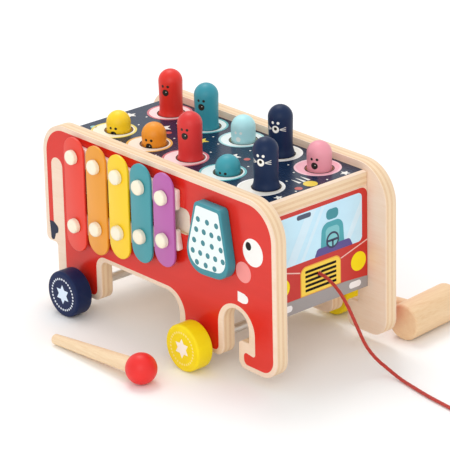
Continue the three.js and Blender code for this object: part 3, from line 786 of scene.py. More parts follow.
class Form:
    """A bmesh under construction, in millimetres."""

    ARC_STEP = math.radians(6)
    MOST_CORNERS = 20
    SAME_LEVEL = 1e-4
    SAME_POINT = 1e-5

    def __init__(self) -> None:
        """Starts empty."""
        self.bm = bmesh.new()

    def rounded_loop(self, corners: Loop) -> list[bmesh.types.BMEdge]:
        """Draws a closed flat loop whose corners are rounded.

        Args:
            corners: the loop's corners as across, up and radius.

        Returns:
            The loop's edges, around one flat face.
        """
        known = set(self.bm.edges)
        verts = [self.bm.verts.new((u, v, 0)) for u, v, _ in corners]
        self.bm.faces.new(verts)
        for i, vert in enumerate(verts):
            radius = corners[i][2]
            if radius <= 0:
                continue
            here = Vector(corners[i][:2])
            into = here - Vector(corners[i - 1][:2])
            out = Vector(corners[(i + 1) % len(corners)][:2]) - here
            turn = abs(into.angle_signed(out))
            bmesh.ops.bevel(
                self.bm, geom=[vert], offset=radius * math.tan(turn / 2), offset_type="OFFSET",
                affect="VERTICES", segments=max(2, round(turn / self.ARC_STEP)), profile=0.5,
                material=-1, clamp_overlap=False)
        return [edge for edge in self.bm.edges if edge not in known]

    def plate(self, corners: Loop, depth: float, holes: Sequence[Loop] = ()) -> "Form":
        """A flat plate that grows from the drawing by its depth.

        Args:
            corners: the outline.
            depth: the plate's thickness.
            holes: outlines of openings through the plate.

        Returns:
            This form.
        """
        edges = self.rounded_loop(corners)
        for hole in holes:
            edges += self.rounded_loop(hole)
        faces = list({face for edge in edges for face in edge.link_faces})
        if holes or len(corners) > self.MOST_CORNERS:
            bmesh.ops.delete(self.bm, geom=faces, context="FACES_ONLY")
            filled = bmesh.ops.triangle_fill(self.bm, use_beauty=True, edges=edges, normal=(0, 0, 1))
            faces = [g for g in filled["geom"] if isinstance(g, bmesh.types.BMFace)]
        raised = bmesh.ops.extrude_face_region(self.bm, geom=faces)
        verts = [g for g in raised["geom"] if isinstance(g, bmesh.types.BMVert)]
        bmesh.ops.translate(self.bm, vec=(0, 0, depth), verts=verts)
        return self

    def pocket(self, corners: Loop, level: float, depth: float) -> "Form":
        """Sinks a flat-bottomed pocket into the plate's top face.

        Args:
            corners: the pocket's outline.
            level: height of the top face.
            depth: depth of the pocket.

        Returns:
            This form.
        """
        top = [f for f in self.bm.faces if all(abs(v.co.z - level) < self.SAME_LEVEL for v in f.verts)]
        rim = [e for f in top for e in f.edges if sum(g in top for g in e.link_faces) == 1]
        bmesh.ops.delete(self.bm, geom=top, context="FACES")
        mouth = self.rounded_loop(corners)
        floor = list({face for edge in mouth for face in edge.link_faces})
        sunk = bmesh.ops.extrude_face_region(self.bm, geom=floor)
        bmesh.ops.delete(self.bm, geom=floor, context="FACES_ONLY")
        down = [g for g in sunk["geom"] if isinstance(g, bmesh.types.BMVert)]
        mouth_verts = list({v for e in mouth for v in e.verts})
        bmesh.ops.translate(self.bm, vec=(0, 0, level), verts=mouth_verts)
        bmesh.ops.translate(self.bm, vec=(0, 0, level - depth), verts=down)
        bmesh.ops.triangle_fill(self.bm, use_beauty=True, edges=rim + mouth, normal=(0, 0, 1))
        return self

    def turned(self, profile: Sequence[tuple[float, float]], steps: int = 48) -> "Form":
        """A turned form about the drawing's upright axis.

        Args:
            profile: radius and height pairs, from axis to axis.
            steps: sides of the full round.

        Returns:
            This form.
        """
        verts = [self.bm.verts.new((r, 0, h)) for r, h in profile]
        edges = [self.bm.edges.new(pair) for pair in zip(verts, verts[1:])]
        bmesh.ops.spin(self.bm, geom=verts + edges, cent=(0, 0, 0), axis=(0, 0, 1),
                       angle=2 * math.pi, steps=steps, use_merge=True)
        bmesh.ops.remove_doubles(self.bm, verts=self.bm.verts[:], dist=self.SAME_POINT)
        return self

    def tube(self, path: Sequence[Vector], radius: float, sides: int = 12, closed: bool = False,
             pitch: float = 7.0, strands: int = 3, relief: float = 0.14) -> "Form":
        """A twisted cord along a path.

        Args:
            path: the middle line.
            radius: the cord's radius over its strands.
            sides: points round it.
            closed: whether the path ends where it starts.
            pitch: length of one full twist.
            strands: number of strands.
            relief: depth of the grooves as a share of the radius.

        Returns:
            This form, whose points hold how deep they lie in a groove.
        """
        groove = self.bm.verts.layers.float.new(GROOVE)
        rings: list[list[bmesh.types.BMEdge]] = []
        count = len(path)
        side = Vector((0, 0, 1))
        travelled = 0.0
        for i, point in enumerate(path):
            before = path[i - 1] if i or closed else point
            after = path[(i + 1) % count] if i + 1 < count or closed else point
            along = (after - before).normalized()
            side = (side - along * side.dot(along)).normalized()
            travelled += (point - path[i - 1]).length if i else 0.0
            placing = Matrix((side, along.cross(side), along)).transposed().to_4x4()
            ring = bmesh.ops.create_circle(self.bm, cap_ends=False, radius=radius, segments=sides)["verts"]
            for vert in ring:
                angle = math.atan2(vert.co.y, vert.co.x)
                dip = (1 - math.cos(strands * (angle - 2 * math.pi * travelled / pitch))) / 2
                vert[groove] = dip
                vert.co = placing @ (vert.co * (1 - relief * dip)) + point
            rings.append(list({e for v in ring for e in v.link_edges}))
        pairs = list(zip(rings, rings[1:])) + ([(rings[-1], rings[0])] if closed else [])
        for first, second in pairs:
            bmesh.ops.bridge_loops(self.bm, edges=first + second)
        if not closed:
            for ring in (rings[0], rings[-1]):
                bmesh.ops.contextual_create(self.bm, geom=ring)
        return self

    def place(self, matrix: Matrix) -> "Form":
        """Moves the whole form."""
        bmesh.ops.transform(self.bm, matrix=matrix, verts=self.bm.verts[:])
        return self

    def ease_edges(self, radius: float, segments: int = 2, over_degrees: float = 40) -> "Form":
        """Rounds the sharp edges a little.

        Args:
            radius: width of the rounding.
            segments: steps of the rounding.
            over_degrees: least angle of an edge that counts as sharp.

        Returns:
            This form.
        """
        bmesh.ops.recalc_face_normals(self.bm, faces=self.bm.faces[:])
        limit = math.radians(over_degrees)
        sharp = [e for e in self.bm.edges if e.is_manifold and e.calc_face_angle(0) > limit]
        bmesh.ops.bevel(self.bm, geom=sharp, offset=radius, offset_type="OFFSET", affect="EDGES",
                        segments=segments, profile=0.5, material=-1, clamp_overlap=True)
        return self

    def keep(self, name: str, finish: Finish, body: str = TOY, stands_for: Sequence[str] = (),
             slot: str = "", smooth_degrees: float = 38) -> bpy.types.Object:
        """Turns the form into a piece of the toy.

        Args:
            name: the piece's name.
            finish: its surface.
            body: the moving body that it rides on.
            stands_for: solids that it takes the place of.
            slot: the record's material slot; not used.
            smooth_degrees: edges sharper than this stay crisp.

        Returns:
            The finished object.
        """
        bmesh.ops.recalc_face_normals(self.bm, faces=self.bm.faces[:])
        bmesh.ops.scale(self.bm, vec=(MM, MM, MM), verts=self.bm.verts[:])
        mesh = bpy.data.meshes.new(name)
        self.bm.to_mesh(mesh)
        self.bm.free()
        mesh.shade_smooth()
        mesh.set_sharp_from_angle(angle=math.radians(smooth_degrees))
        mesh.materials.append(finish.material())
        piece = bpy.data.objects.new(name, mesh)
        bpy.context.scene.collection.objects.link(piece)
        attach(piece, body)
        if stands_for:
            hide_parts(*stands_for)
        log.info("%s: %d faces on %s", name, len(mesh.polygons), body)
        return piece


NEARLY_ROUND = 0.9995
OVAL_CORNERS = 14
OVAL_ROUNDING = 0.2
STAR_TIPS = 5
STAR_WAIST = 0.45
STAR_ROUNDING = 0.06


def quarter_turn(steps: int) -> list[float]:
    """Angles from zero to a right angle, in radians."""
    return [math.pi / 2 * k / steps for k in range(steps + 1)]


def circle(u: float, v: float, radius: float, stretch: float = 1.0) -> list[Corner]:
    """A round outline as four rounded corners, or an oval one as many.

    Args:
        u: centre across.
        v: centre up.
        radius: half its width.
        stretch: height over width.

    Returns:
        Corners for a rounded loop.
    """
    if stretch == 1.0:
        corner = radius * NEARLY_ROUND
        return rectangle(u - radius, v - radius, u + radius, v + radius, corner)
    tall = radius * stretch
    turns = (2 * math.pi * k / OVAL_CORNERS for k in range(OVAL_CORNERS))
    return [(u + radius * math.cos(t), v + tall * math.sin(t), radius * OVAL_ROUNDING) for t in turns]


def rectangle(u0: float, v0: float, u1: float, v1: float, radius: float = 0.0) -> list[Corner]:
    """A rectangle's corners, all of one radius."""
    return [(u0, v0, radius), (u1, v0, radius), (u1, v1, radius), (u0, v1, radius)]


def starlet(u: float, v: float, radius: float, turn: float = 0.0) -> list[Corner]:
    """A small star.

    Args:
        u: centre across.
        v: centre up.
        radius: distance of its tips.
        turn: turn in radians.

    Returns:
        Corners for a rounded loop.
    """
    corners: list[Corner] = []
    for k in range(2 * STAR_TIPS):
        reach = radius * (STAR_WAIST if k % 2 else 1.0)
        angle = turn + math.pi / 2 + math.pi * k / STAR_TIPS
        corners.append((u + reach * math.cos(angle), v + reach * math.sin(angle), radius * STAR_ROUNDING))
    return corners


@dataclass(frozen=True)
class Ink:
    """Thin printed layers: how far a layer lies in the surface and stands above it."""

    sunk: float = 0.05
    proud: float = 0.06

    def print(self, name: str, finish: Finish, plane: Plane, level: float, shapes: Sequence[Loop],
              holes: Sequence[Loop] = (), layer: int = 0) -> bpy.types.Object:
        """Prints flat shapes on a face.

        Args:
            name: the printed piece's name.
            finish: its colour.
            plane: the face's direction.
            level: the face's place.
            shapes: outlines.
            holes: openings in the first outline.
            layer: number of printed layers underneath.

        Returns:
            The printed piece.
        """
        form = Form()
        outward = sum(plane.value[2])
        depth = self.sunk + self.proud * (1 + layer)
        for i, shape in enumerate(shapes):
            form.plate(shape, depth, holes if i == 0 else ())
        form.place(plane.matrix(level - outward * self.sunk))
        return form.keep(name, finish)


INK = Ink()


def birch(name: str, grain: Axis, ring: float, across: Axis, start: float,
          thickness: float = PLY, veneers: int = 5) -> Plywood:
    """The toy's own plywood.

    Args:
        name: the finish's name.
        grain: the way that the face grain runs.
        ring: width of the figure.
        across: the way through the board.
        start: where the board begins that way.
        thickness: the board's thickness.
        veneers: number of layers.

    Returns:
        The finish.
    """
    return Plywood(name, "f5dfca", "ebcbac", grain, ring, across=across, start=start, thickness=thickness,
                   veneers=veneers)


@dataclass
class Studio:
    """Camera, soft light and a pale floor."""

    azimuth: float = 48.916
    elevation: float = 22.087
    roll: float = -1.324
    target: tuple[float, float, float] = (0.0, 7.233, 65.699)
    distance: float = 2017.447
    focal_pixels: float = 3053.82
    frame_pixels: float = 450.0
    sensor: float = 36.0
    view_end: float = 50.0
    sky_strength: float = 0.8
    key_place: tuple[float, float, float] = (-0.7, 0.35, 1.7)
    key_size: float = 0.8
    key_power: float = 11.0
    fill_place: tuple[float, float, float] = (1.1, -1.3, 0.9)
    fill_size: float = 1.2
    fill_power: float = 8.0
    floor_half: float = 4.0
    floor_drop: float = 0.00005

    def camera(self) -> None:
        """Sets the camera at the viewing angle of the picture."""
        a, e, r = (math.radians(v) for v in (self.azimuth, self.elevation, self.roll))
        back = Vector((math.sin(a) * math.cos(e), -math.cos(a) * math.cos(e), math.sin(e)))
        right = Vector((math.cos(a), math.sin(a), 0))
        up = back.cross(right)
        right, up = (right * math.cos(r) + up * math.sin(r), up * math.cos(r) - right * math.sin(r))
        data = bpy.data.cameras.new("camera")
        data.sensor_width = self.sensor
        data.lens = self.sensor * self.focal_pixels / self.frame_pixels
        data.clip_end = self.view_end
        made = bpy.data.objects.new("camera", data)
        place = (Vector(self.target) + back * self.distance) * MM
        made.matrix_world = Matrix.Translation(place) @ Matrix((right, up, back)).transposed().to_4x4()
        bpy.context.scene.collection.objects.link(made)
        bpy.context.scene.camera = made

    def lamp(self, name: str, place: tuple[float, float, float], size: float, power: float) -> None:
        """Hangs a square soft lamp that faces the toy.

        Args:
            name: the lamp's name.
            place: its place in metres.
            size: its side in metres.
            power: its power in watts.
        """
        data = bpy.data.lights.new(name, "AREA")
        data.size = size
        data.energy = power
        made = bpy.data.objects.new(name, data)
        spot = Vector(place)
        made.matrix_world = Matrix.Translation(spot) @ spot.to_track_quat("Z", "Y").to_matrix().to_4x4()
        bpy.context.scene.collection.objects.link(made)

    def sky(self) -> None:
        """A white surround that lights the toy evenly and shows white behind it."""
        world = bpy.data.worlds.new("surround")
        bpy.context.scene.world = world
        world.use_nodes = True
        nodes = NodeTree(world.node_tree)
        rays = nodes.node("ShaderNodeLightPath").outputs
        kinds = ("Is Camera Ray", "Is Glossy Ray", "Is Transmission Ray")
        camera, glossy, passing = (Value(nodes, rays[kind]) for kind in kinds)
        shown = camera.most(glossy).most(passing)
        background = world.node_tree.nodes["Background"]
        nodes.feed(background.inputs["Strength"], shown * (1 - self.sky_strength) + self.sky_strength)
        nodes.feed(background.inputs["Color"], linear("ffffff"))

    def floor(self) -> None:
        """A plain pale floor."""
        bm = bmesh.new()
        bmesh.ops.create_grid(bm, x_segments=1, y_segments=1, size=self.floor_half)
        bmesh.ops.translate(bm, vec=(0, 0, -self.floor_drop), verts=bm.verts[:])
        mesh = bpy.data.meshes.new("floor")
        bm.to_mesh(mesh)
        bm.free()
        shader = Shader("floor_white", Roughness=0.85, Specular_IOR_Level=0.1)
        cloud = shader.noise((300.0, 300.0, 300.0), 2.0)
        shader.set("Base Color", shader.mix(cloud, linear("fdfcfb"), linear("fefefd")))
        mesh.materials.append(shader.material)
        made = bpy.data.objects.new("floor", mesh)
        bpy.context.scene.collection.objects.link(made)

    def build(self) -> None:
        """Sets up camera, light and floor."""
        self.camera()
        self.sky()
        self.lamp("key", self.key_place, self.key_size, self.key_power)
        self.lamp("fill", self.fill_place, self.fill_size, self.fill_power)
        self.floor()
        bpy.context.scene.view_settings.view_transform = "Standard"


@dataclass
class PullCord:
    """The red cord: a free run to the floor, the rest in a tied coil, and a knot at each end."""

    radius: float = 1.25
    exit_z: float = 63.0
    floor_z: float = 1.35
    landing: float = 0.4
    knot_radius: float = 4.5
    end_knot_radius: float = 4.0
    knot_cord: float = 1.2
    knot_steps: int = 72
    knot_rise: float = 1.1
    neck_step: float = 0.8
    neck_points: int = 14
    coil_radius: float = 18.0
    coil_pitch: float = 3.2
    coil_rise: float = 3.2
    turns_per_layer: int = 2
    steps_per_turn: int = 36
    joint_gap: float = 0.3
    run_step: float = 1.6
    tie_width: float = 6.0
    tie_wall: float = 0.5
    tie_play: tuple[float, float, float] = (0.3, 0.4, 0.2)
    tie_corners: tuple[float, float] = (0.5, 0.9)
    tie_bottom: tuple[float, float] = (0.08, 0.01)
    smooth_degrees: float = 80
    finish: Finish = Twine("twine_red")

    def route(self) -> list[Vector]:
        """The free run's guide points, as in the part's source.

        Returns:
            Points from the front panel to where the coil begins.
        """
        z = self.floor_z
        return [Vector(p) for p in (
            (98.9, 0, self.exit_z), (104.5, 0.2, self.exit_z - 0.9), (112.6, 0.8, 57.9), (118.8, 1.6, 51.9),
            (123.6, 3, 43.7), (127.2, 6, 32.5), (130.9, 10, 19.8), (135.3, 14.1, 11.3), (142.6, 17.4, 5.4),
            (154.1, 17.7, z + self.landing), (170.4, 15, z), (185.1, 12.6, z), (209.8, 10, z), (232, 7, z))]

    def run(self) -> list[Vector]:
        """A smooth line through the guide points, its tangents weighted by the root of their spacing.

        Returns:
            Points about one step apart.
        """
        guide = self.route()
        padded = [2 * guide[0] - guide[1], *guide, 2 * guide[-1] - guide[-2]]
        points: list[Vector] = []
        for p0, p1, p2, p3 in zip(padded, padded[1:], padded[2:], padded[3:]):
            d0, d1, d2 = (math.sqrt((b - a).length) for a, b in ((p0, p1), (p1, p2), (p2, p3)))
            t1 = ((p1 - p0) / d0 - (p2 - p0) / (d0 + d1) + (p2 - p1) / d1) * d1
            t2 = ((p2 - p1) / d1 - (p3 - p1) / (d1 + d2) + (p3 - p2) / d2) * d1
            steps = max(2, round((p2 - p1).length / self.run_step))
            for k in range(steps):
                t = k / steps
                bend = p1 + t1 * t + (3 * (p2 - p1) - 2 * t1 - t2) * t ** 2
                points.append(bend + (2 * (p1 - p2) + t1 + t2) * t ** 3)
        return points + [guide[-1]]

    def coil(self) -> list[Vector]:
        """In along the lower layer, up in half a turn, and out along the upper layer.

        Returns:
            Points of the coil, from where the run ends.
        """
        guide = self.route()
        heading = (guide[-1] - guide[-2]).normalized()
        course = math.atan2(heading.y, heading.x)
        entry = guide[-1] + heading * (self.joint_gap + 2 * self.radius)
        centre = entry + Vector((-math.sin(course), math.cos(course), 0)) * self.coil_radius
        steps = self.steps_per_turn
        layer = self.turns_per_layer * steps
        climb = steps // 2
        total = 2 * layer + climb
        points: list[Vector] = []
        for k in range(total + 1):
            share = min(max((k - layer) / climb, 0.0), 1.0)
            inward = min(k, total - k, layer + climb / 4)
            radius = self.coil_radius - self.coil_pitch * inward / steps
            angle = course - math.pi / 2 + 2 * math.pi * k / steps
            rise = self.coil_rise * share * share * (3 - 2 * share)
            points.append(centre + Vector((radius * math.cos(angle), radius * math.sin(angle), rise)))
        leaving = (points[-1] - points[-2]).normalized()
        return points + [points[-1] + leaving * 2 * self.radius]

    def knot(self, centre: Vector, reach: float) -> Form:
        """An overhand knot as a closed loop of cord.

        Args:
            centre: the knot's middle.
            reach: its radius over the cord.

        Returns:
            The loop.
        """
        scale = (reach - self.knot_cord) / 3
        line = []
        for k in range(self.knot_steps):
            t = 2 * math.pi * k / self.knot_steps
            flat = Vector((math.sin(t) + 2 * math.sin(2 * t), math.cos(t) - 2 * math.cos(2 * t), 0))
            line.append(centre + (flat + Vector((0, 0, -self.knot_rise * math.sin(3 * t)))) * scale)
        return Form().tube(line, self.knot_cord, closed=True)

    def keep(self, form: Form, name: str, *nodes: str) -> bpy.types.Object:
        """Turns a length of cord into a piece.

        Args:
            form: the cord.
            name: the piece's name.
            nodes: solids that it takes the place of.

        Returns:
            The finished object.
        """
        return form.keep(name, self.finish, stands_for=nodes, slot="cord_red",
                         smooth_degrees=self.smooth_degrees)

    def tie(self, coil: Sequence[Vector]) -> bpy.types.Object:
        """A paper band round the coil's turns.

        Args:
            coil: the coil's line.

        Returns:
            The band.
        """
        middle = sum(coil, Vector()) / len(coil)
        innermost = self.coil_radius - self.coil_pitch * (self.turns_per_layer + 0.25)
        inside, outside, above = self.tie_play
        inner = innermost - self.radius - inside
        outer = self.coil_radius + self.radius + outside
        top = self.floor_z + self.coil_rise + self.radius + above
        wall = self.tie_wall
        (bend, outer_bend), (floor, outer_floor) = self.tie_corners, self.tie_bottom
        opening = rectangle(inner, floor, outer, top, bend)
        band = rectangle(inner - wall, outer_floor, outer + wall, top + wall, outer_bend)
        form = Form().plate(band, self.tie_width, [opening])
        place = Matrix.Translation((middle.x, middle.y + self.tie_width / 2, 0))
        form.place(place @ Matrix.Rotation(math.pi / 2, 4, "X"))
        return form.keep("cord_tie", Paint("paper_band", "efe6d6", 0.7))

    def build(self) -> None:
        coil = self.coil()
        path = self.run() + coil
        cord = self.keep(Form().tube(path, self.radius), "cord", "cord_run", "cord_coil")
        leaving = (coil[-1] - coil[-2]).normalized()
        end = coil[-1] + leaving * (self.end_knot_radius + self.joint_gap)
        end_knot = self.keep(self.knot(end, self.end_knot_radius), "cord_end_loop", "cord_end_knot")
        back = FRONT_FACE - PLY
        inside = self.knot(Vector((back - self.knot_radius, 0, self.exit_z)), self.knot_radius)
        start = Vector((back - self.knot_cord, 0, self.exit_z))
        neck = [start + Vector((self.neck_step * k, 0, 0)) for k in range(self.neck_points)]
        inner_knot = self.keep(inside.tube(neck, self.radius), "cord_inner_loop", "cord_knot")
        tie = self.tie(coil)
        length = sum((b - a).length for a, b in zip(path, path[1:]))
        log.info("cord length %.1f mm", length)
        [c * MM for c in path[0]]
        [[c * MM for c in p] for p in path]


@dataclass
class SidePanel:
    """A plywood side in the outline of an elephant, printed red on its outer face."""

    side: Side
    edge: float = 0.55
    axle_hole: float = 3.6

    OUTLINE = (
        (-115, 126, 22), (-115, 40, 4), (-103.6, 40, 2.5), (-103.6, 10, 7.5), (-58.1, 10, 7.5),
        (-58.1, 40.5, 6), (22, 40.5, 13), (22, 10, 7.5), (64.6, 10, 7.5), (64.6, 47.8, 12.25),
        (89.2, 47.8, 12.25), (89.2, 27.1, 1.5), (79.3, 27.1, 3), (79.3, 8.5, 6), (115, 8.5, 13),
        (115, 126, 25))
    RED = (
        (-111.5, 122.7, 18.6), (-111.5, 53, 0), (-107, 53, 0), (-107, 102, 5.9), (-95.2, 102, 5.9),
        (-95.2, 13, 5), (-80.1, 13, 0.3), (-80.1, 20, 3.9), (-72.1, 20, 3.9), (-72.1, 13, 0.3),
        (-62.9, 13, 5), (-62.9, 43.4, 9), (27.4, 43.4, 17), (27.4, 13, 4), (41.8, 13, 0.3), (41.8, 20, 3.9),
        (49.8, 20, 3.9), (49.8, 13, 0.3), (59.6, 13, 4), (59.6, 50.7, 17.4), (94.7, 50.7, 17.4),
        (94.7, 18.6, 2.4), (84, 20.4, 2.6), (84, 11.8, 3.5), (111.6, 11.6, 10), (111.6, 122.7, 21.6))
    TUFT = (
        (-111.2, 54.3, 0.6), (-107, 54.5, 1), (-102.2, 51.5, 2.2), (-102.6, 47.3, 2), (-105.2, 46.3, 0.4),
        (-107.2, 40.9, 2), (-110.2, 41.3, 1.6))
    TUSK = (
        (79.3, 60.9, 0.3), (85.5, 60.5, 4.0), (89.3, 58.8, 2.2), (88.6, 54.4, 3.1), (83.5, 53.5, 3.0),
        (79.2, 54.0, 0.6))
    SLOT = rectangle(-80.1, 84.6, 34.7, 102.6, 5.0)
    SLOT_FLOOR = rectangle(-80.0, 84.7, 34.6, 102.5, 4.9)
    SLOT_DEPTH = 3.0
    EYE = circle(94.4, 91.2, 9.3)
    PUPIL = circle(90.4, 94.6, 2.6, 1.1)
    CHEEK = circle(85.2, 75.3, 7.0)

    def plane(self) -> Plane:
        """The drawing plane of the outer face."""
        return Plane[self.side.name]

    def board(self) -> None:
        """Cuts the panel itself."""
        sign = self.side.value
        name = self.side.name.lower()
        holes = [circle(x, AXLE_Z, self.axle_hole) for x in (REAR_AXLE_X, FRONT_AXLE_X)]
        form = Form().plate(self.OUTLINE, PLY, holes)
        if self.side is Side.RIGHT:
            form.pocket(self.SLOT, PLY, self.SLOT_DEPTH)
        form.ease_edges(self.edge)
        form.place(self.plane().matrix(sign * (PANEL_FACE - PLY)))
        start = PANEL_FACE - PLY if self.side is Side.LEFT else -PANEL_FACE
        finish = birch(f"ply_side_{name}", Axis.X, 7.0, Axis.Y, start)
        form.keep(f"panel_{name}", finish, stands_for=(f"side_panel_{name}",), slot="panel_wood")

    def prints(self) -> None:
        """Prints the elephant on the outer face."""
        name = self.side.name.lower()
        plane = self.plane()
        level = self.side.value * PANEL_FACE

        def ink(piece: str, finish: Finish, shapes: Sequence[Loop], layer: int,
                holes: Sequence[Loop] = ()) -> None:
            """Prints one colour on this face."""
            INK.print(f"print_{piece}_{name}", finish, plane, level, shapes, holes, layer)

        red = Paint("print_red", "dc2412", 0.24, mottling=0.05, shine=0.36)
        ink("red", red, [self.RED], 0, [self.SLOT] if self.side is Side.RIGHT else ())
        if self.side is Side.RIGHT:
            # The pocket's floor is paler wood than the panel: painted light that offsets the shade in the
            # pocket.
            veneer = Timber("slot_floor_painted_light", "fff2e0", "f6e2c6", Axis.X, 7.0)
            INK.print("slot_floor", veneer, plane, level + self.SLOT_DEPTH, [self.SLOT_FLOOR])
        ink("tuft", Paint("print_navy", "17213f", 0.4, shine=0.25), [self.TUFT], 1)
        ink("eye", Paint("print_white", "f8f6f2", 0.3, mottling=0.02), [self.EYE, self.TUSK], 1)
        ink("pupil", Paint("print_black", "080605", 0.45, shine=0.2), [self.PUPIL], 2)
        ink("cheek", Paint("print_blush", "fa9792", 0.3, shine=0.3), [self.CHEEK], 2)

    def build(self) -> None:
        """Makes the panel and its print."""
        self.board()
        self.prints()


@dataclass
class Ear:
    """An ear plate with a dotted white inset."""

    side: Side
    thickness: float = 7.3
    inner: float = PANEL_FACE + SIDE_GAP
    edge: float = 0.8
    dot_radius: float = 1.9

    OUTLINE = ((47.9, 115.2, 3.2), (34.8, 65.1, 15), (80.6, 68.1, 12), (72.4, 115.2, 3.2))
    INSET = ((49.7, 112.9, 2), (37.4, 69.2, 12.6), (78.4, 72.8, 9.4), (70.6, 112.9, 2))
    # Each row of dots: its height, its first dot, their spacing and their number.
    ROWS = (
        (103.9, 51.4, 8.7, 3), (96.45, 49.5, 7.27, 4), (88.65, 47.2, 8.47, 4), (81.1, 45.6, 7.18, 5),
        (74.0, 49.4, 8.4, 3))

    def build(self) -> None:
        """Makes the plate, its white inset and its dots."""
        name = self.side.name.lower()
        sign = self.side.value
        plane = Plane[self.side.name]
        form = Form().plate(self.OUTLINE, self.thickness).ease_edges(self.edge, 3)
        form.place(plane.matrix(sign * self.inner))
        teal = Paint("paint_ear", "2f8b99", 0.4)
        form.keep(f"ear_plate_{name}", teal, stands_for=(f"ear_{name}",), slot="paint_teal")
        level = sign * (self.inner + self.thickness)
        white = Paint("print_ear_white", "eefaf9", 0.35, mottling=0.02)
        INK.print(f"ear_inset_{name}", white, plane, level, [self.INSET])
        dots = [circle(start + k * step, z, self.dot_radius)
                for z, start, step, count in self.ROWS for k in range(count)]
        INK.print(f"ear_dots_{name}", Paint("print_teal", "33848f", 0.4), plane, level, dots, layer=1)


@dataclass(frozen=True)
class Mole:
    """One mole: its colours, its face and how far it is pressed in."""

    colour: str
    tint: str
    pressed: float
    ring: str
    rim: str
    expression: Expression = Expression.BUTTON
    shine: float = 0.4


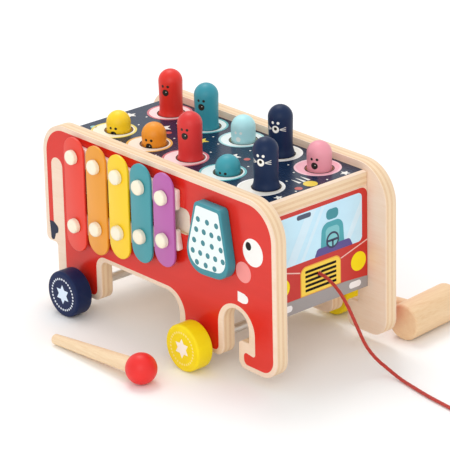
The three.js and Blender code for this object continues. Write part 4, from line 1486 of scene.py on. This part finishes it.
@dataclass
class MoleGame:
    """The printed board with its ten moles."""

    half_width: float = 42.7
    top: float = 121.4
    row_y: float = 23.0
    row_shift: float = 1.2
    first_x: float = -71.8
    pitch: float = 36.4
    hole: float = 9.2
    ring_radius: float = 15.4
    ring_shift: tuple[float, float] = (-1.9, 1.5)
    ring_line: float = 1.4
    # Width of the dark ring of painted shadow round each hole.
    painted_hole_shadow: float = 0.55
    raised: float = 111.6
    head_length: float = 44.3
    radius: float = 8.2
    edge: float = 0.4
    margin: float = 0.3
    front_margin: float = 3.6
    hole_margin: float = 0.2
    overlap: float = 0.05
    behind: float = -0.45
    speck: float = 0.7
    tail_start: float = 17.0
    tail_length: float = 9.5
    tail_half: float = 1.1
    tail_corner: float = 0.2

    # Radius and height of a mole's stem, flange and waist, from its foot up to its dome.
    STEM = (
        (0, -38.9), (4.2, -38.9), (5, -38.1), (5, -4), (11, -4), (11, 0), (8.9, 0.2), (8.9, 11.6),
        (8.8, 12.3), (8.5, 13.2), (8.2, 14.2), (7.95, 15.6), (7.82, 17.4), (7.84, 20), (7.96, 26),
        (8.1, 31.5))

    # Places of the small white specks round a column, and of the ball's tails across the board.
    SPECKS = ((-6, 7.4), (2, -6.2), (18, 14), (19, -14))
    TAILS = (-2.4, 1.5, 5.4)

    NEAR = (
        Mole("yellow", "ffd31a", 20.8, "f7f0da", "ecd75e"),
        Mole("orange", "f0961a", 19.6, "f8e6d2", "e6ab4c"),
        Mole("red", "d92b2a", 2.7, "fbdfde", "cf6a76"),
        Mole("teal", "3a9fad", 22.7, "e6f4f2", "5cb3b8"),
        Mole("navy", "082348", 1.0, "f2efe6", "fbf9f5", Expression.WHISKERS, 0.22))
    FAR = (
        Mole("red", "e4281a", 3.0, "fbdfde", "cf6a76"),
        Mole("teal", "2f92a3", 3.9, "e6f4f2", "5cb3b8"),
        Mole("mint", "b6ebf0", 17.0, "eef6f4", "a9d8da", Expression.FAINT),
        Mole("navy", "082348", 0.4, "f2efe6", "fbf9f5", Expression.WHISKERS, 0.22),
        Mole("pink", "ee9ba9", 15.7, "f4aebd", "f8c6d0"))

    def spots(self) -> list[tuple[Mole, str, float, float]]:
        """The places of the moles.

        Returns:
            Each mole with its node's name and its place on the board.
        """
        found = []
        for prefix, row, y in (("right", self.NEAR, -self.row_y), ("left", self.FAR, self.row_y)):
            for i, mole in enumerate(row):
                found.append((mole, f"mole_{prefix}_{mole.colour}", self.column(i), y + self.row_shift))
        return found

    def column(self, i: float) -> float:
        """Place of a column of moles, halves being the gaps between them."""
        return self.first_x + i * self.pitch

    def print(self, name: str, finish: Finish, shapes: Sequence[Loop], holes: Sequence[Loop] = (),
              layer: int = 0) -> None:
        """Prints one colour on the board; see Ink."""
        INK.print(name, finish, Plane.TOP, self.top, shapes, holes, layer)

    def board(self) -> None:
        """Cuts the board and lays its dark print."""
        holes = [circle(x, y, self.hole) for _, _, x, y in self.spots()]
        outline = rectangle(REAR_FACE, -self.half_width, FRONT_FACE, self.half_width)
        form = Form().plate(outline, PLY, holes).ease_edges(self.edge)
        form.place(Plane.TOP.matrix(self.top - PLY))
        finish = birch("ply_board", Axis.X, 6.0, Axis.Z, self.top - PLY)
        form.keep("board", finish, stands_for=("mole_board",), slot="mole_board_print")
        side = self.half_width - self.margin
        dark = rectangle(REAR_FACE + self.margin, -side, FRONT_FACE - self.front_margin, side)
        wider = [circle(x, y, self.hole + self.hole_margin) for _, _, x, y in self.spots()]
        night = Paint("print_night", "0a2443", 0.26, mottling=0.08, shine=0.25)
        self.print("print_night", night, [dark], wider)

    def rings(self) -> None:
        """Prints a pale disc with a coloured rim round each hole, and a thin dark ring of painted shadow at
        the hole's edge.
        """
        shadow_paint = Paint("painted_hole_shadow", "43332a", 0.6, mottling=0.15, shine=0.2)
        for mole, node, x, y in self.spots():
            name = node.removeprefix("mole_")
            hole = [circle(x, y, self.hole + self.hole_margin)]
            u, v = x + self.ring_shift[0], math.copysign(self.row_y + self.ring_shift[1], y)
            pale = Paint(f"print_disc_{mole.ring}", mole.ring, 0.32, mottling=0.03)
            self.print(f"disc_{name}", pale, [circle(u, v, self.ring_radius)], hole, 1)
            band = [circle(u, v, self.ring_radius - self.ring_line)]
            rim = Paint(f"print_rim_{mole.rim}", mole.rim, 0.32, mottling=0.03)
            self.print(f"rim_{name}", rim, [circle(u, v, self.ring_radius + self.overlap)], band, 2)
            # A dark ring round the hole's edge: painted shadow where the mole's base meets the board.
            edge = [circle(x, y, self.hole + self.painted_hole_shadow)]
            self.print(f"edge_{name}", shadow_paint, edge, [circle(x, y, self.hole + self.overlap)], 3)

    def motifs(self) -> None:
        """Scatters plain stars, dots and a ball with a tail between the discs."""
        column = self.column
        white = [starlet(column(0.5), 1.5, 6.4), starlet(column(2.5), -1.5, 6.2, turn=0.3),
                 starlet(column(3.5), 36.0, 3.6, turn=0.2), starlet(column(4.5) + 1, -29, 3.4),
                 starlet(column(1.5), -37, 3.4, turn=0.5), starlet(column(self.behind), 2, 4.8),
                 starlet(column(4.5) - 0.5, 30, 3.8, turn=0.4)]
        tip = column(4.5) - self.tail_start
        root = tip + self.tail_length
        half, corner = self.tail_half, self.tail_corner
        for y in self.TAILS:
            white.append([(tip, y, corner), (root, y - half, corner), (root, y + half, corner)])
        for i in range(len(self.NEAR)):
            for aside, y in self.SPECKS:
                white.append(circle(column(i) + aside, y, self.speck))
        yellow = [starlet(column(1.5), 3, 6.0, turn=0.25), starlet(column(0.5), -37.5, 3.0),
                  starlet(column(3.5), -3.5, 5.8, turn=0.1), starlet(column(2.5), 37.5, 3.0, turn=0.4),
                  circle(column(4.5) - 2.4, 1.5, 4.7)]
        red = [circle(column(0.5) + 9.5, -2, 2.2), circle(column(1.5), 37.5, 1.8),
               circle(column(3.5), -38, 1.8), circle(column(4.5) - 1.5, -9.5, 2.6),
               circle(column(2.5) + 10, 2, 2.2)]
        mint = [circle(column(0.5), 37.5, 1.8), circle(column(1.5) - 10, -2, 2.2),
                circle(column(2.5), -37.5, 1.8), circle(column(3.5) - 9, 3.5, 2.4),
                circle(column(self.behind), -30, 2.2), circle(column(self.behind), 33, 1.8)]
        for name, code, shapes in (("white", "f4f2ea", white), ("yellow", "f2d34a", yellow),
                                   ("red", "c8574f", red), ("mint", "8cc9cc", mint)):
            self.print(f"motif_{name}", Paint(f"print_motif_{name}", code, 0.3), shapes, layer=1)

    def mole(self, mole: Mole, node: str, x: float, y: float) -> None:
        """Turns and dresses one mole.

        Args:
            mole: its colours and face.
            node: the solid that it stands for, also its body's name.
            x: its place along the board.
            y: its place across the board.
        """
        top = self.head_length
        dome_base = top - self.radius
        dome = [(self.radius * math.cos(t), dome_base + self.radius * math.sin(t))
                for t in quarter_turn(12)[:-1]]
        base = self.raised - mole.pressed
        form = Form().turned([*self.STEM, *dome, (0, top)], 56).place(Matrix.Translation((x, y, base)))
        finish = MolePaint(f"paint_{node}", mole.tint, 0.42, mottling=0.04, grain=Axis.Z, shine=mole.shine,
                           expression=mole.expression, centre=(x, y), top=base + top,
                           body_radius=self.radius)
        form.keep(f"{node}_turned", finish, node, (node,), f"paint_{mole.colour}", TURNED_SMOOTH)

    def build(self) -> None:
        """Makes the board, its print and the moles."""
        self.board()
        self.rings()
        self.motifs()
        for spot in self.spots():
            self.mole(*spot)


@dataclass
class BusFront:
    """The front panel, printed as a plain bus front."""

    half_width: float = 42.7
    top: float = 111.85
    cord_z: float = 63.0
    cord_hole: float = 1.65
    hole_margin: float = 0.2
    edge: float = 0.3
    print_shift: float = 1.2
    slat_half: float = 13.5
    slat_height: float = 1.75
    slat_corner: float = 0.3
    cord_slat: float = 63.1
    cord_gap: tuple[float, float] = (-2.6, 0.4)

    SLATS = (53.5, 56.7, 59.9, 66.3)

    def board(self) -> None:
        """Cuts the panel."""
        outline = rectangle(-self.half_width, BOX_FLOOR, self.half_width, self.top)
        form = Form().plate(outline, PLY, [circle(0, self.cord_z, self.cord_hole)])
        form.ease_edges(self.edge)
        form.place(Plane.FRONT.matrix(FRONT_FACE - PLY))
        finish = birch("ply_front", Axis.Y, 6.0, Axis.X, FRONT_FACE - PLY)
        form.keep("front_board", finish, stands_for=("front_panel",), slot="front_print")

    def build(self) -> None:
        """Makes the panel and its print."""
        self.board()
        hole = [circle(0, self.cord_z, self.cord_hole + self.hole_margin)]
        shift = self.print_shift

        def ink(name: str, code: str, shapes: Sequence[Loop], layer: int, pierced: bool = False,
                rough: float = 0.34, shine: float = 0.4) -> None:
            """Prints one colour of the bus front.

            Args:
                name: the end of the piece's and the paint's name.
                code: its colour as six hexadecimal digits.
                shapes: outlines, drawn about the middle of the bus.
                layer: its place in the stack of prints.
                pierced: whether the cord's hole is cut through it.
                rough: roughness of the paint.
                shine: strength of its reflections.
            """
            moved = [[(u + shift, v, radius) for u, v, radius in shape] for shape in shapes]
            finish = Paint(f"print_bus_{name}", code, rough, mottling=0.04, grain=Axis.Y, shine=shine)
            INK.print(f"bus_{name}", finish, Plane.FRONT, FRONT_FACE, moved, hole if pierced else (), layer)

        bodywork = [(-43.6, 41.6, 0), (41.4, 41.6, 0), (41.4, 111.3, 5.5), (-43.6, 111.3, 5.5)]
        ink("red", "c8281d", [bodywork], 0, True)
        ink("glass", "c6ebff", [rectangle(-36.6, 74.8, 36.6, 108.4, 3.5)], 1, rough=0.2)
        ink("shine", "d5eefc", [
            [(-30, 75, 0.5), (-22, 75, 0.5), (-3, 108.2, 0.5), (-11, 108.2, 0.5)],
            [(-17.5, 75, 0.5), (-14.5, 75, 0.5), (4.5, 108.2, 0.5), (1.5, 108.2, 0.5)],
            [(19, 75, 0.5), (24, 75, 0.5), (36.4, 96, 0.5), (36.4, 104.5, 0.5)]], 2, rough=0.2)
        ink("seat", "45a3ae", [[(0, 76, 0.4), (21, 76, 0.4), (19.5, 96, 6), (1.5, 96, 6)]], 3)
        ink("headrest", "3a8f9b", [rectangle(5.3, 97.3, 15.7, 104.4, 3.0)], 3)
        ink("seat_panel", "7cc4cb", [rectangle(4.5, 80, 16.5, 92.4, 3.4)], 4)
        ink("dash", "55478c", [[(-5, 74.8, 0.3), (28, 74.8, 0.3), (25.5, 80, 2.4), (-2.5, 80, 2.4)]], 5)
        ink("wheel", "2b3050", [circle(10.5, 83, 5.6)], 6)
        ink("wheel_inside", "7cc4cb", [circle(10.5, 83, 4.3)], 7)
        spokes = [rectangle(5.7, 82.2, 15.3, 83.8, 0.4), rectangle(9.8, 78.0, 11.2, 83.0, 0.3)]
        ink("wheel_spokes", "2b3050", spokes, 8)
        ink("mirror", "46506a", [rectangle(-20, 104.2, -8, 107.4, 1.4)], 3)
        ink("crease", "f1c9bf", [[(17.6, 68.3, 0), (17.8, 67.6, 0), (41.4, 74.1, 0), (41.4, 74.9, 0)],
                                 [(-17.6, 68.3, 0), (-17.8, 67.6, 0), (-41, 74.1, 0), (-41, 74.9, 0)]], 2)
        trim = [(-17.6, 50.9, 0.5), (17.6, 50.9, 0.5), (17.6, 71.2, 5), (-17.6, 71.2, 5)]
        ink("grille_trim", "eda23a", [trim], 3, True)
        grille = [(-16.9, 51.5, 0.4), (16.9, 51.5, 0.4), (16.9, 70.5, 4.4), (-16.9, 70.5, 4.4)]
        ink("grille", "fcd445", [grille], 4, True)
        end, gap = self.slat_half, self.cord_gap
        strips = [(-end, end, z) for z in self.SLATS]
        strips += [(-end, gap[0], self.cord_slat), (gap[1], end, self.cord_slat)]
        slats = [rectangle(u, z, w, z + self.slat_height, self.slat_corner) for u, w, z in strips]
        ink("slats", "0d0804", slats, 5, rough=0.5, shine=0.1)
        ink("lamps", "fbe010", [circle(-33.4, 61.4, 6.6), circle(33.4, 61.4, 6.6)], 1, shine=0.2)
        bumper = [(-43.6, 41.6, 0), (41.4, 41.6, 0), (41.4, 49.2, 0.5), (22, 50.6, 30), (-43.6, 51.0, 1)]
        ink("bumper", "9f9896", [bumper], 2)
        fog_lamps = [rectangle(-35.3, 44.0, -24.9, 48.4, 2.1), rectangle(24.9, 44.0, 35.3, 48.4, 2.1)]
        ink("fog", "f5efee", fog_lamps, 3)


@dataclass
class ChimeBars:
    """Two rails on the right side with five enamelled bars, each held by two capped screws."""

    rail_thick: float = 3.4
    rail_width: float = 14.0
    rail_corner: float = 1.5
    edge: float = 0.5
    end_flat: float = 0.05
    bar_thick: float = 2.0
    bar_width: float = 20.0
    pitch: float = 22.7
    middle_x: float = -30.0
    top: float = 124.3
    longest: float = 80.4
    step: float = 4.0
    cap_radius: float = 5.0
    cap_rim: float = 2.4
    cap_edge: float = 0.3
    cap_height: float = 4.8
    screw_insets: tuple[float, float] = (13.1, 18.7)
    screw_step: float = 0.8
    shank: float = 1.7
    shank_length: float = 12.3
    overhangs: dict[str, float] = field(default_factory=lambda: {"upper": 10.6, "lower": 11.4})

    COLOURS = {"red": "ee3f2c", "orange": "f09f28", "yellow": "ffd51a", "teal": "3f9ba5", "purple": "bb61ad"}

    def places(self) -> list[tuple[str, float, float, dict[str, float]]]:
        """The places of the bars.

        Returns:
            Each bar's colour, place, lower end and screw heights.
        """
        found = []
        for i, colour in enumerate(self.COLOURS):
            bottom = self.top - (self.longest - self.step * i)
            upper = self.top - self.screw_insets[0] - self.screw_step * i
            screws = {"upper": upper, "lower": bottom + self.screw_insets[1]}
            found.append((colour, self.middle_x + (i - 2) * self.pitch, bottom, screws))
        return found

    def rail(self, key: str) -> None:
        """Makes one rail along its screws.

        Args:
            key: which rail, upper or lower.
        """
        places = self.places()
        start = Vector((places[0][1], places[0][3][key]))
        end = Vector((places[-1][1], places[-1][3][key]))
        along = (end - start).normalized()
        across = Vector((-along.y, along.x)) * (self.rail_width / 2)
        start, end = start - along * self.overhangs[key], end + along * self.overhangs[key]
        corners = [(*(start - across), self.rail_corner), (*(end - across), self.rail_corner),
                   (*(end + across), self.rail_corner), (*(start + across), self.rail_corner)]
        form = Form().plate(corners, self.rail_thick).ease_edges(self.edge)
        form.place(Plane.RIGHT.matrix(-(PANEL_FACE + SIDE_GAP)))
        finish = Timber("rail_pale", "f8e6df", "ecd0c4", Axis.X, 6.0)
        form.keep(f"rail_strip_{key}", finish, stands_for=(f"rail_{key}",), slot="rail_wood")

    def build(self) -> None:
        """Makes rails, bars and capped screws."""
        for key in self.overhangs:
            self.rail(key)
        inner = PANEL_FACE + 2 * SIDE_GAP + self.rail_thick
        half = self.bar_width / 2
        crown = self.cap_height - self.cap_rim
        dome = [(self.cap_radius * math.cos(t), self.cap_rim + crown * math.sin(t))
                for t in quarter_turn(10)[:-1]]
        foot, cut = -self.shank_length, self.cap_edge
        profile = [(0, foot), (self.shank, foot), (self.shank, 0), (self.cap_radius - cut, 0),
                   (self.cap_radius, cut), *dome, (0, self.cap_height)]
        cap = Gloss("cap_cream", "f8f5dc")
        for colour, x, bottom, screws in self.places():
            corners = rectangle(x - half, bottom, x + half, self.top, half - self.end_flat)
            form = Form().plate(corners, self.bar_thick).ease_edges(self.edge, 3)
            form.place(Plane.RIGHT.matrix(-inner))
            form.keep(f"chime_{colour}", Enamel(f"enamel_{colour}", self.COLOURS[colour]),
                      stands_for=(f"bar_{colour}",), slot=f"metal_{colour}")
            for key, z in screws.items():
                head = -(inner + self.bar_thick + SIDE_GAP)
                placing = Matrix.Translation((x, head, z)) @ Matrix.Rotation(math.pi / 2, 4, "X")
                Form().turned(profile, 32).place(placing).keep(
                    f"cap_{colour}_{key}", cap, stands_for=(f"screw_{colour}_{key}",), slot="cap_cream")


@dataclass
class WheelSet:
    """Two wheels fixed on a steel axle."""

    place: str
    x: float
    finish: WheelPaint
    slot: str
    radius: float = AXLE_Z
    hub_radius: float = 6.5
    hub_length: float = 5.6
    width: float = 18.8
    edge: float = 1.8
    bore: float = 3.3
    bore_depth: float = 13.3
    hub_y: float = 53.1
    axle_radius: float = 3.0
    axle_half: float = 66.1
    axle_edge: float = 0.4

    def build(self) -> None:
        """Makes the wheels and the axle."""
        body = f"wheelset_{self.place}"
        rim = self.radius - self.edge
        arc = quarter_turn(6)
        inner = [(rim + self.edge * math.sin(t), self.hub_length + self.edge - self.edge * math.cos(t))
                 for t in arc]
        outer = [(rim + self.edge * math.cos(t), self.width - self.edge + self.edge * math.sin(t))
                 for t in arc]
        profile = [(0, self.bore_depth), (self.bore, self.bore_depth), (self.bore, 0), (self.hub_radius, 0),
                   (self.hub_radius, self.hub_length), *inner, *outer, (0, self.width)]
        for side in Side:
            turn = Matrix.Rotation(-side.value * math.pi / 2, 4, "X")
            placing = Matrix.Translation((self.x, side.value * self.hub_y, self.radius)) @ turn
            name = side.name.lower()
            Form().turned(profile, 72).place(placing).keep(
                f"wheel_{self.place}_{name}_turned", self.finish, body,
                (f"wheel_{self.place}_{name}",), self.slot, TURNED_SMOOTH)
        half, r, cut = self.axle_half, self.axle_radius, self.axle_edge
        rod = [(0, -half), (r - cut, -half), (r, -half + cut), (r, half - cut), (r - cut, half), (0, half)]
        placing = Matrix.Translation((self.x, 0, self.radius)) @ Matrix.Rotation(math.pi / 2, 4, "X")
        Form().turned(rod, 32).place(placing).keep(
            f"axle_rod_{self.place}", Steel("steel_axle"), body, (f"axle_{self.place}",), "axle_steel")


@dataclass
class LooseTool:
    """A head on a handle, lying on the floor: its handle's end touches, its head keeps its radius."""

    name: str
    x: float
    y: float
    turn_degrees: float
    head_radius: float
    handle_radius: float
    reach: float

    def placing(self) -> Matrix:
        """The placing of the tool on the floor.

        Returns:
            A matrix from the tool's own frame, with its handle along X, to the toy's frame.
        """
        tilt = math.asin((self.head_radius - self.handle_radius) / self.reach)
        lay = Matrix.Rotation(math.radians(self.turn_degrees), 4, "Z") @ Matrix.Rotation(tilt, 4, "Y")
        return Matrix.Translation((self.x, self.y, self.head_radius)) @ lay

    def handle(self, start: float, edge: float, node: str, finish: Finish, neck: float = 0.0) -> None:
        """Turns the handle.

        Args:
            start: where it begins, from the head's middle.
            edge: rounding of its end.
            node: the solid that it stands for.
            finish: its surface.
            neck: its radius at the start, where it isn't even.
        """
        r = self.handle_radius
        root = neck or r
        tip = [(r - edge + edge * math.cos(t), self.reach - edge + edge * math.sin(t))
               for t in quarter_turn(5)]
        profile = [(0, start), (root, start), *tip, (0, self.reach)]
        form = Form().turned(profile, 36).place(self.placing() @ Matrix.Rotation(math.pi / 2, 4, "Y"))
        form.keep(f"{node}_turned", finish, self.name, (node,), "mallet_wood", TURNED_SMOOTH)


@dataclass
class Mallet(LooseTool):
    """A mallet with a barrel head set across its handle."""

    head_radius: float = 12.5
    handle_radius: float = 4.75
    reach: float = 137.5
    head_length: float = 48.0
    edge: float = 2.0
    handle_edge: float = 1.2
    socket_depth: float = 18.0
    gap: float = 0.3

    def build(self) -> None:
        """Makes head and handle."""
        half, rim = self.head_length / 2, self.head_radius - self.edge
        arc = quarter_turn(6)
        low = [(rim + self.edge * math.sin(t), -half + self.edge - self.edge * math.cos(t)) for t in arc]
        high = [(rim + self.edge * math.cos(t), half - self.edge + self.edge * math.sin(t)) for t in arc]
        form = Form().turned([(0, -half), *low, *high, (0, half)], 64)
        form.place(self.placing() @ Matrix.Rotation(-math.pi / 2, 4, "X"))
        barrel = Timber("mallet_head_wood", "f0d2a9", "dfb585", Axis.Y, 4.0)
        form.keep(f"{self.name}_head_turned", barrel, self.name, (f"{self.name}_head",), "mallet_wood",
                  TURNED_SMOOTH)
        start = self.head_radius - self.socket_depth + self.gap
        rod = Timber("mallet_handle_wood", "f2d5ad", "e2b98a", Axis.X, 3.5)
        self.handle(start, self.handle_edge, f"{self.name}_handle", rod)


@dataclass
class Beater(LooseTool):
    """A stick with a red ball."""

    head_radius: float = 10.4
    handle_radius: float = 3.5
    reach: float = 87.0
    handle_edge: float = 0.8
    socket_depth: float = 12.0
    ball_steps: int = 24
    neck_radius: float = 5.6
    gap: float = 0.3

    def build(self) -> None:
        """Makes ball and stick."""
        bore = self.neck_radius + self.gap
        r = self.head_radius
        mouth = math.sqrt(r ** 2 - bore ** 2)
        first = math.acos(bore / r)
        sweep = first + math.pi / 2
        turns = [first - sweep * k / self.ball_steps for k in range(self.ball_steps)]
        ball = [(r * math.cos(t), r * math.sin(t)) for t in turns]
        floor = mouth - self.socket_depth
        profile = [(0, floor), (bore, floor), *ball, (0, -r)]
        form = Form().turned(profile, 48).place(self.placing() @ Matrix.Rotation(math.pi / 2, 4, "Y"))
        lacquer = Paint("paint_ball", "ea2a27", 0.42, mottling=0.04, shine=0.35)
        form.keep("beater_ball_turned", lacquer, self.name, ("beater_ball",), "paint_red", TURNED_SMOOTH)
        wood = Timber("beater_wood", "f5ddb9", "e4bf92", Axis.X, 3.0)
        self.handle(floor + self.gap, self.handle_edge, "beater_stick", wood, self.neck_radius)


def dress_inner_boards() -> None:
    """Gives the boards that keep their solid shape their own wood and felt."""
    thin_veneers = 3
    rear = birch("ply_rear", Axis.Y, 6.0, Axis.X, REAR_FACE)
    base = birch("ply_base", Axis.X, 6.0, Axis.Z, BOX_FLOOR, BASE_PLY, thin_veneers)
    guide = birch("ply_guide", Axis.X, 6.0, Axis.Z, GUIDE_FLOOR, GUIDE_PLY, thin_veneers)
    for node, finish in (("rear_panel", rear), ("base_board", base), ("guide_board", guide),
                         ("grip_sheet", Felt("felt_grip"))):
        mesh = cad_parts[node].data
        mesh.materials.clear()
        mesh.materials.append(finish.material())
        log.info("%s dressed", node)


def main() -> None:
    """Builds the toy's looks, piece by piece."""
    logging.basicConfig(level=logging.INFO, format="%(name)s %(message)s")
    Studio().build()
    PullCord().build()
    for side in Side:
        SidePanel(side).build()
        Ear(side).build()
    MoleGame().build()
    BusFront().build()
    ChimeBars().build()
    navy = WheelPaint("paint_wheel_navy", "0a1f4c", 0.45, mottling=0.1, grain=Axis.Y, shine=0.2,
                      centre=(REAR_AXLE_X, AXLE_Z))
    yellow = WheelPaint("paint_wheel_yellow", "ffe004", 0.45, mottling=0.07, grain=Axis.Y, shine=0.24,
                        centre=(FRONT_AXLE_X, AXLE_Z), star="fff8ea", stitches="fff3bd",
                        stitch_strength=0.45)
    WheelSet("rear", REAR_AXLE_X, navy, "paint_navy").build()
    WheelSet("front", FRONT_AXLE_X, yellow, "paint_yellow").build()
    Mallet("mallet_a", x=-108.4, y=87.7, turn_degrees=3.0).build()
    Mallet("mallet_b", x=107.5, y=87.3, turn_degrees=185.8).build()
    Beater("beater", x=41.4, y=-102.3, turn_degrees=180.8).build()
    dress_inner_boards()


if __name__ == "__main__":
    main()
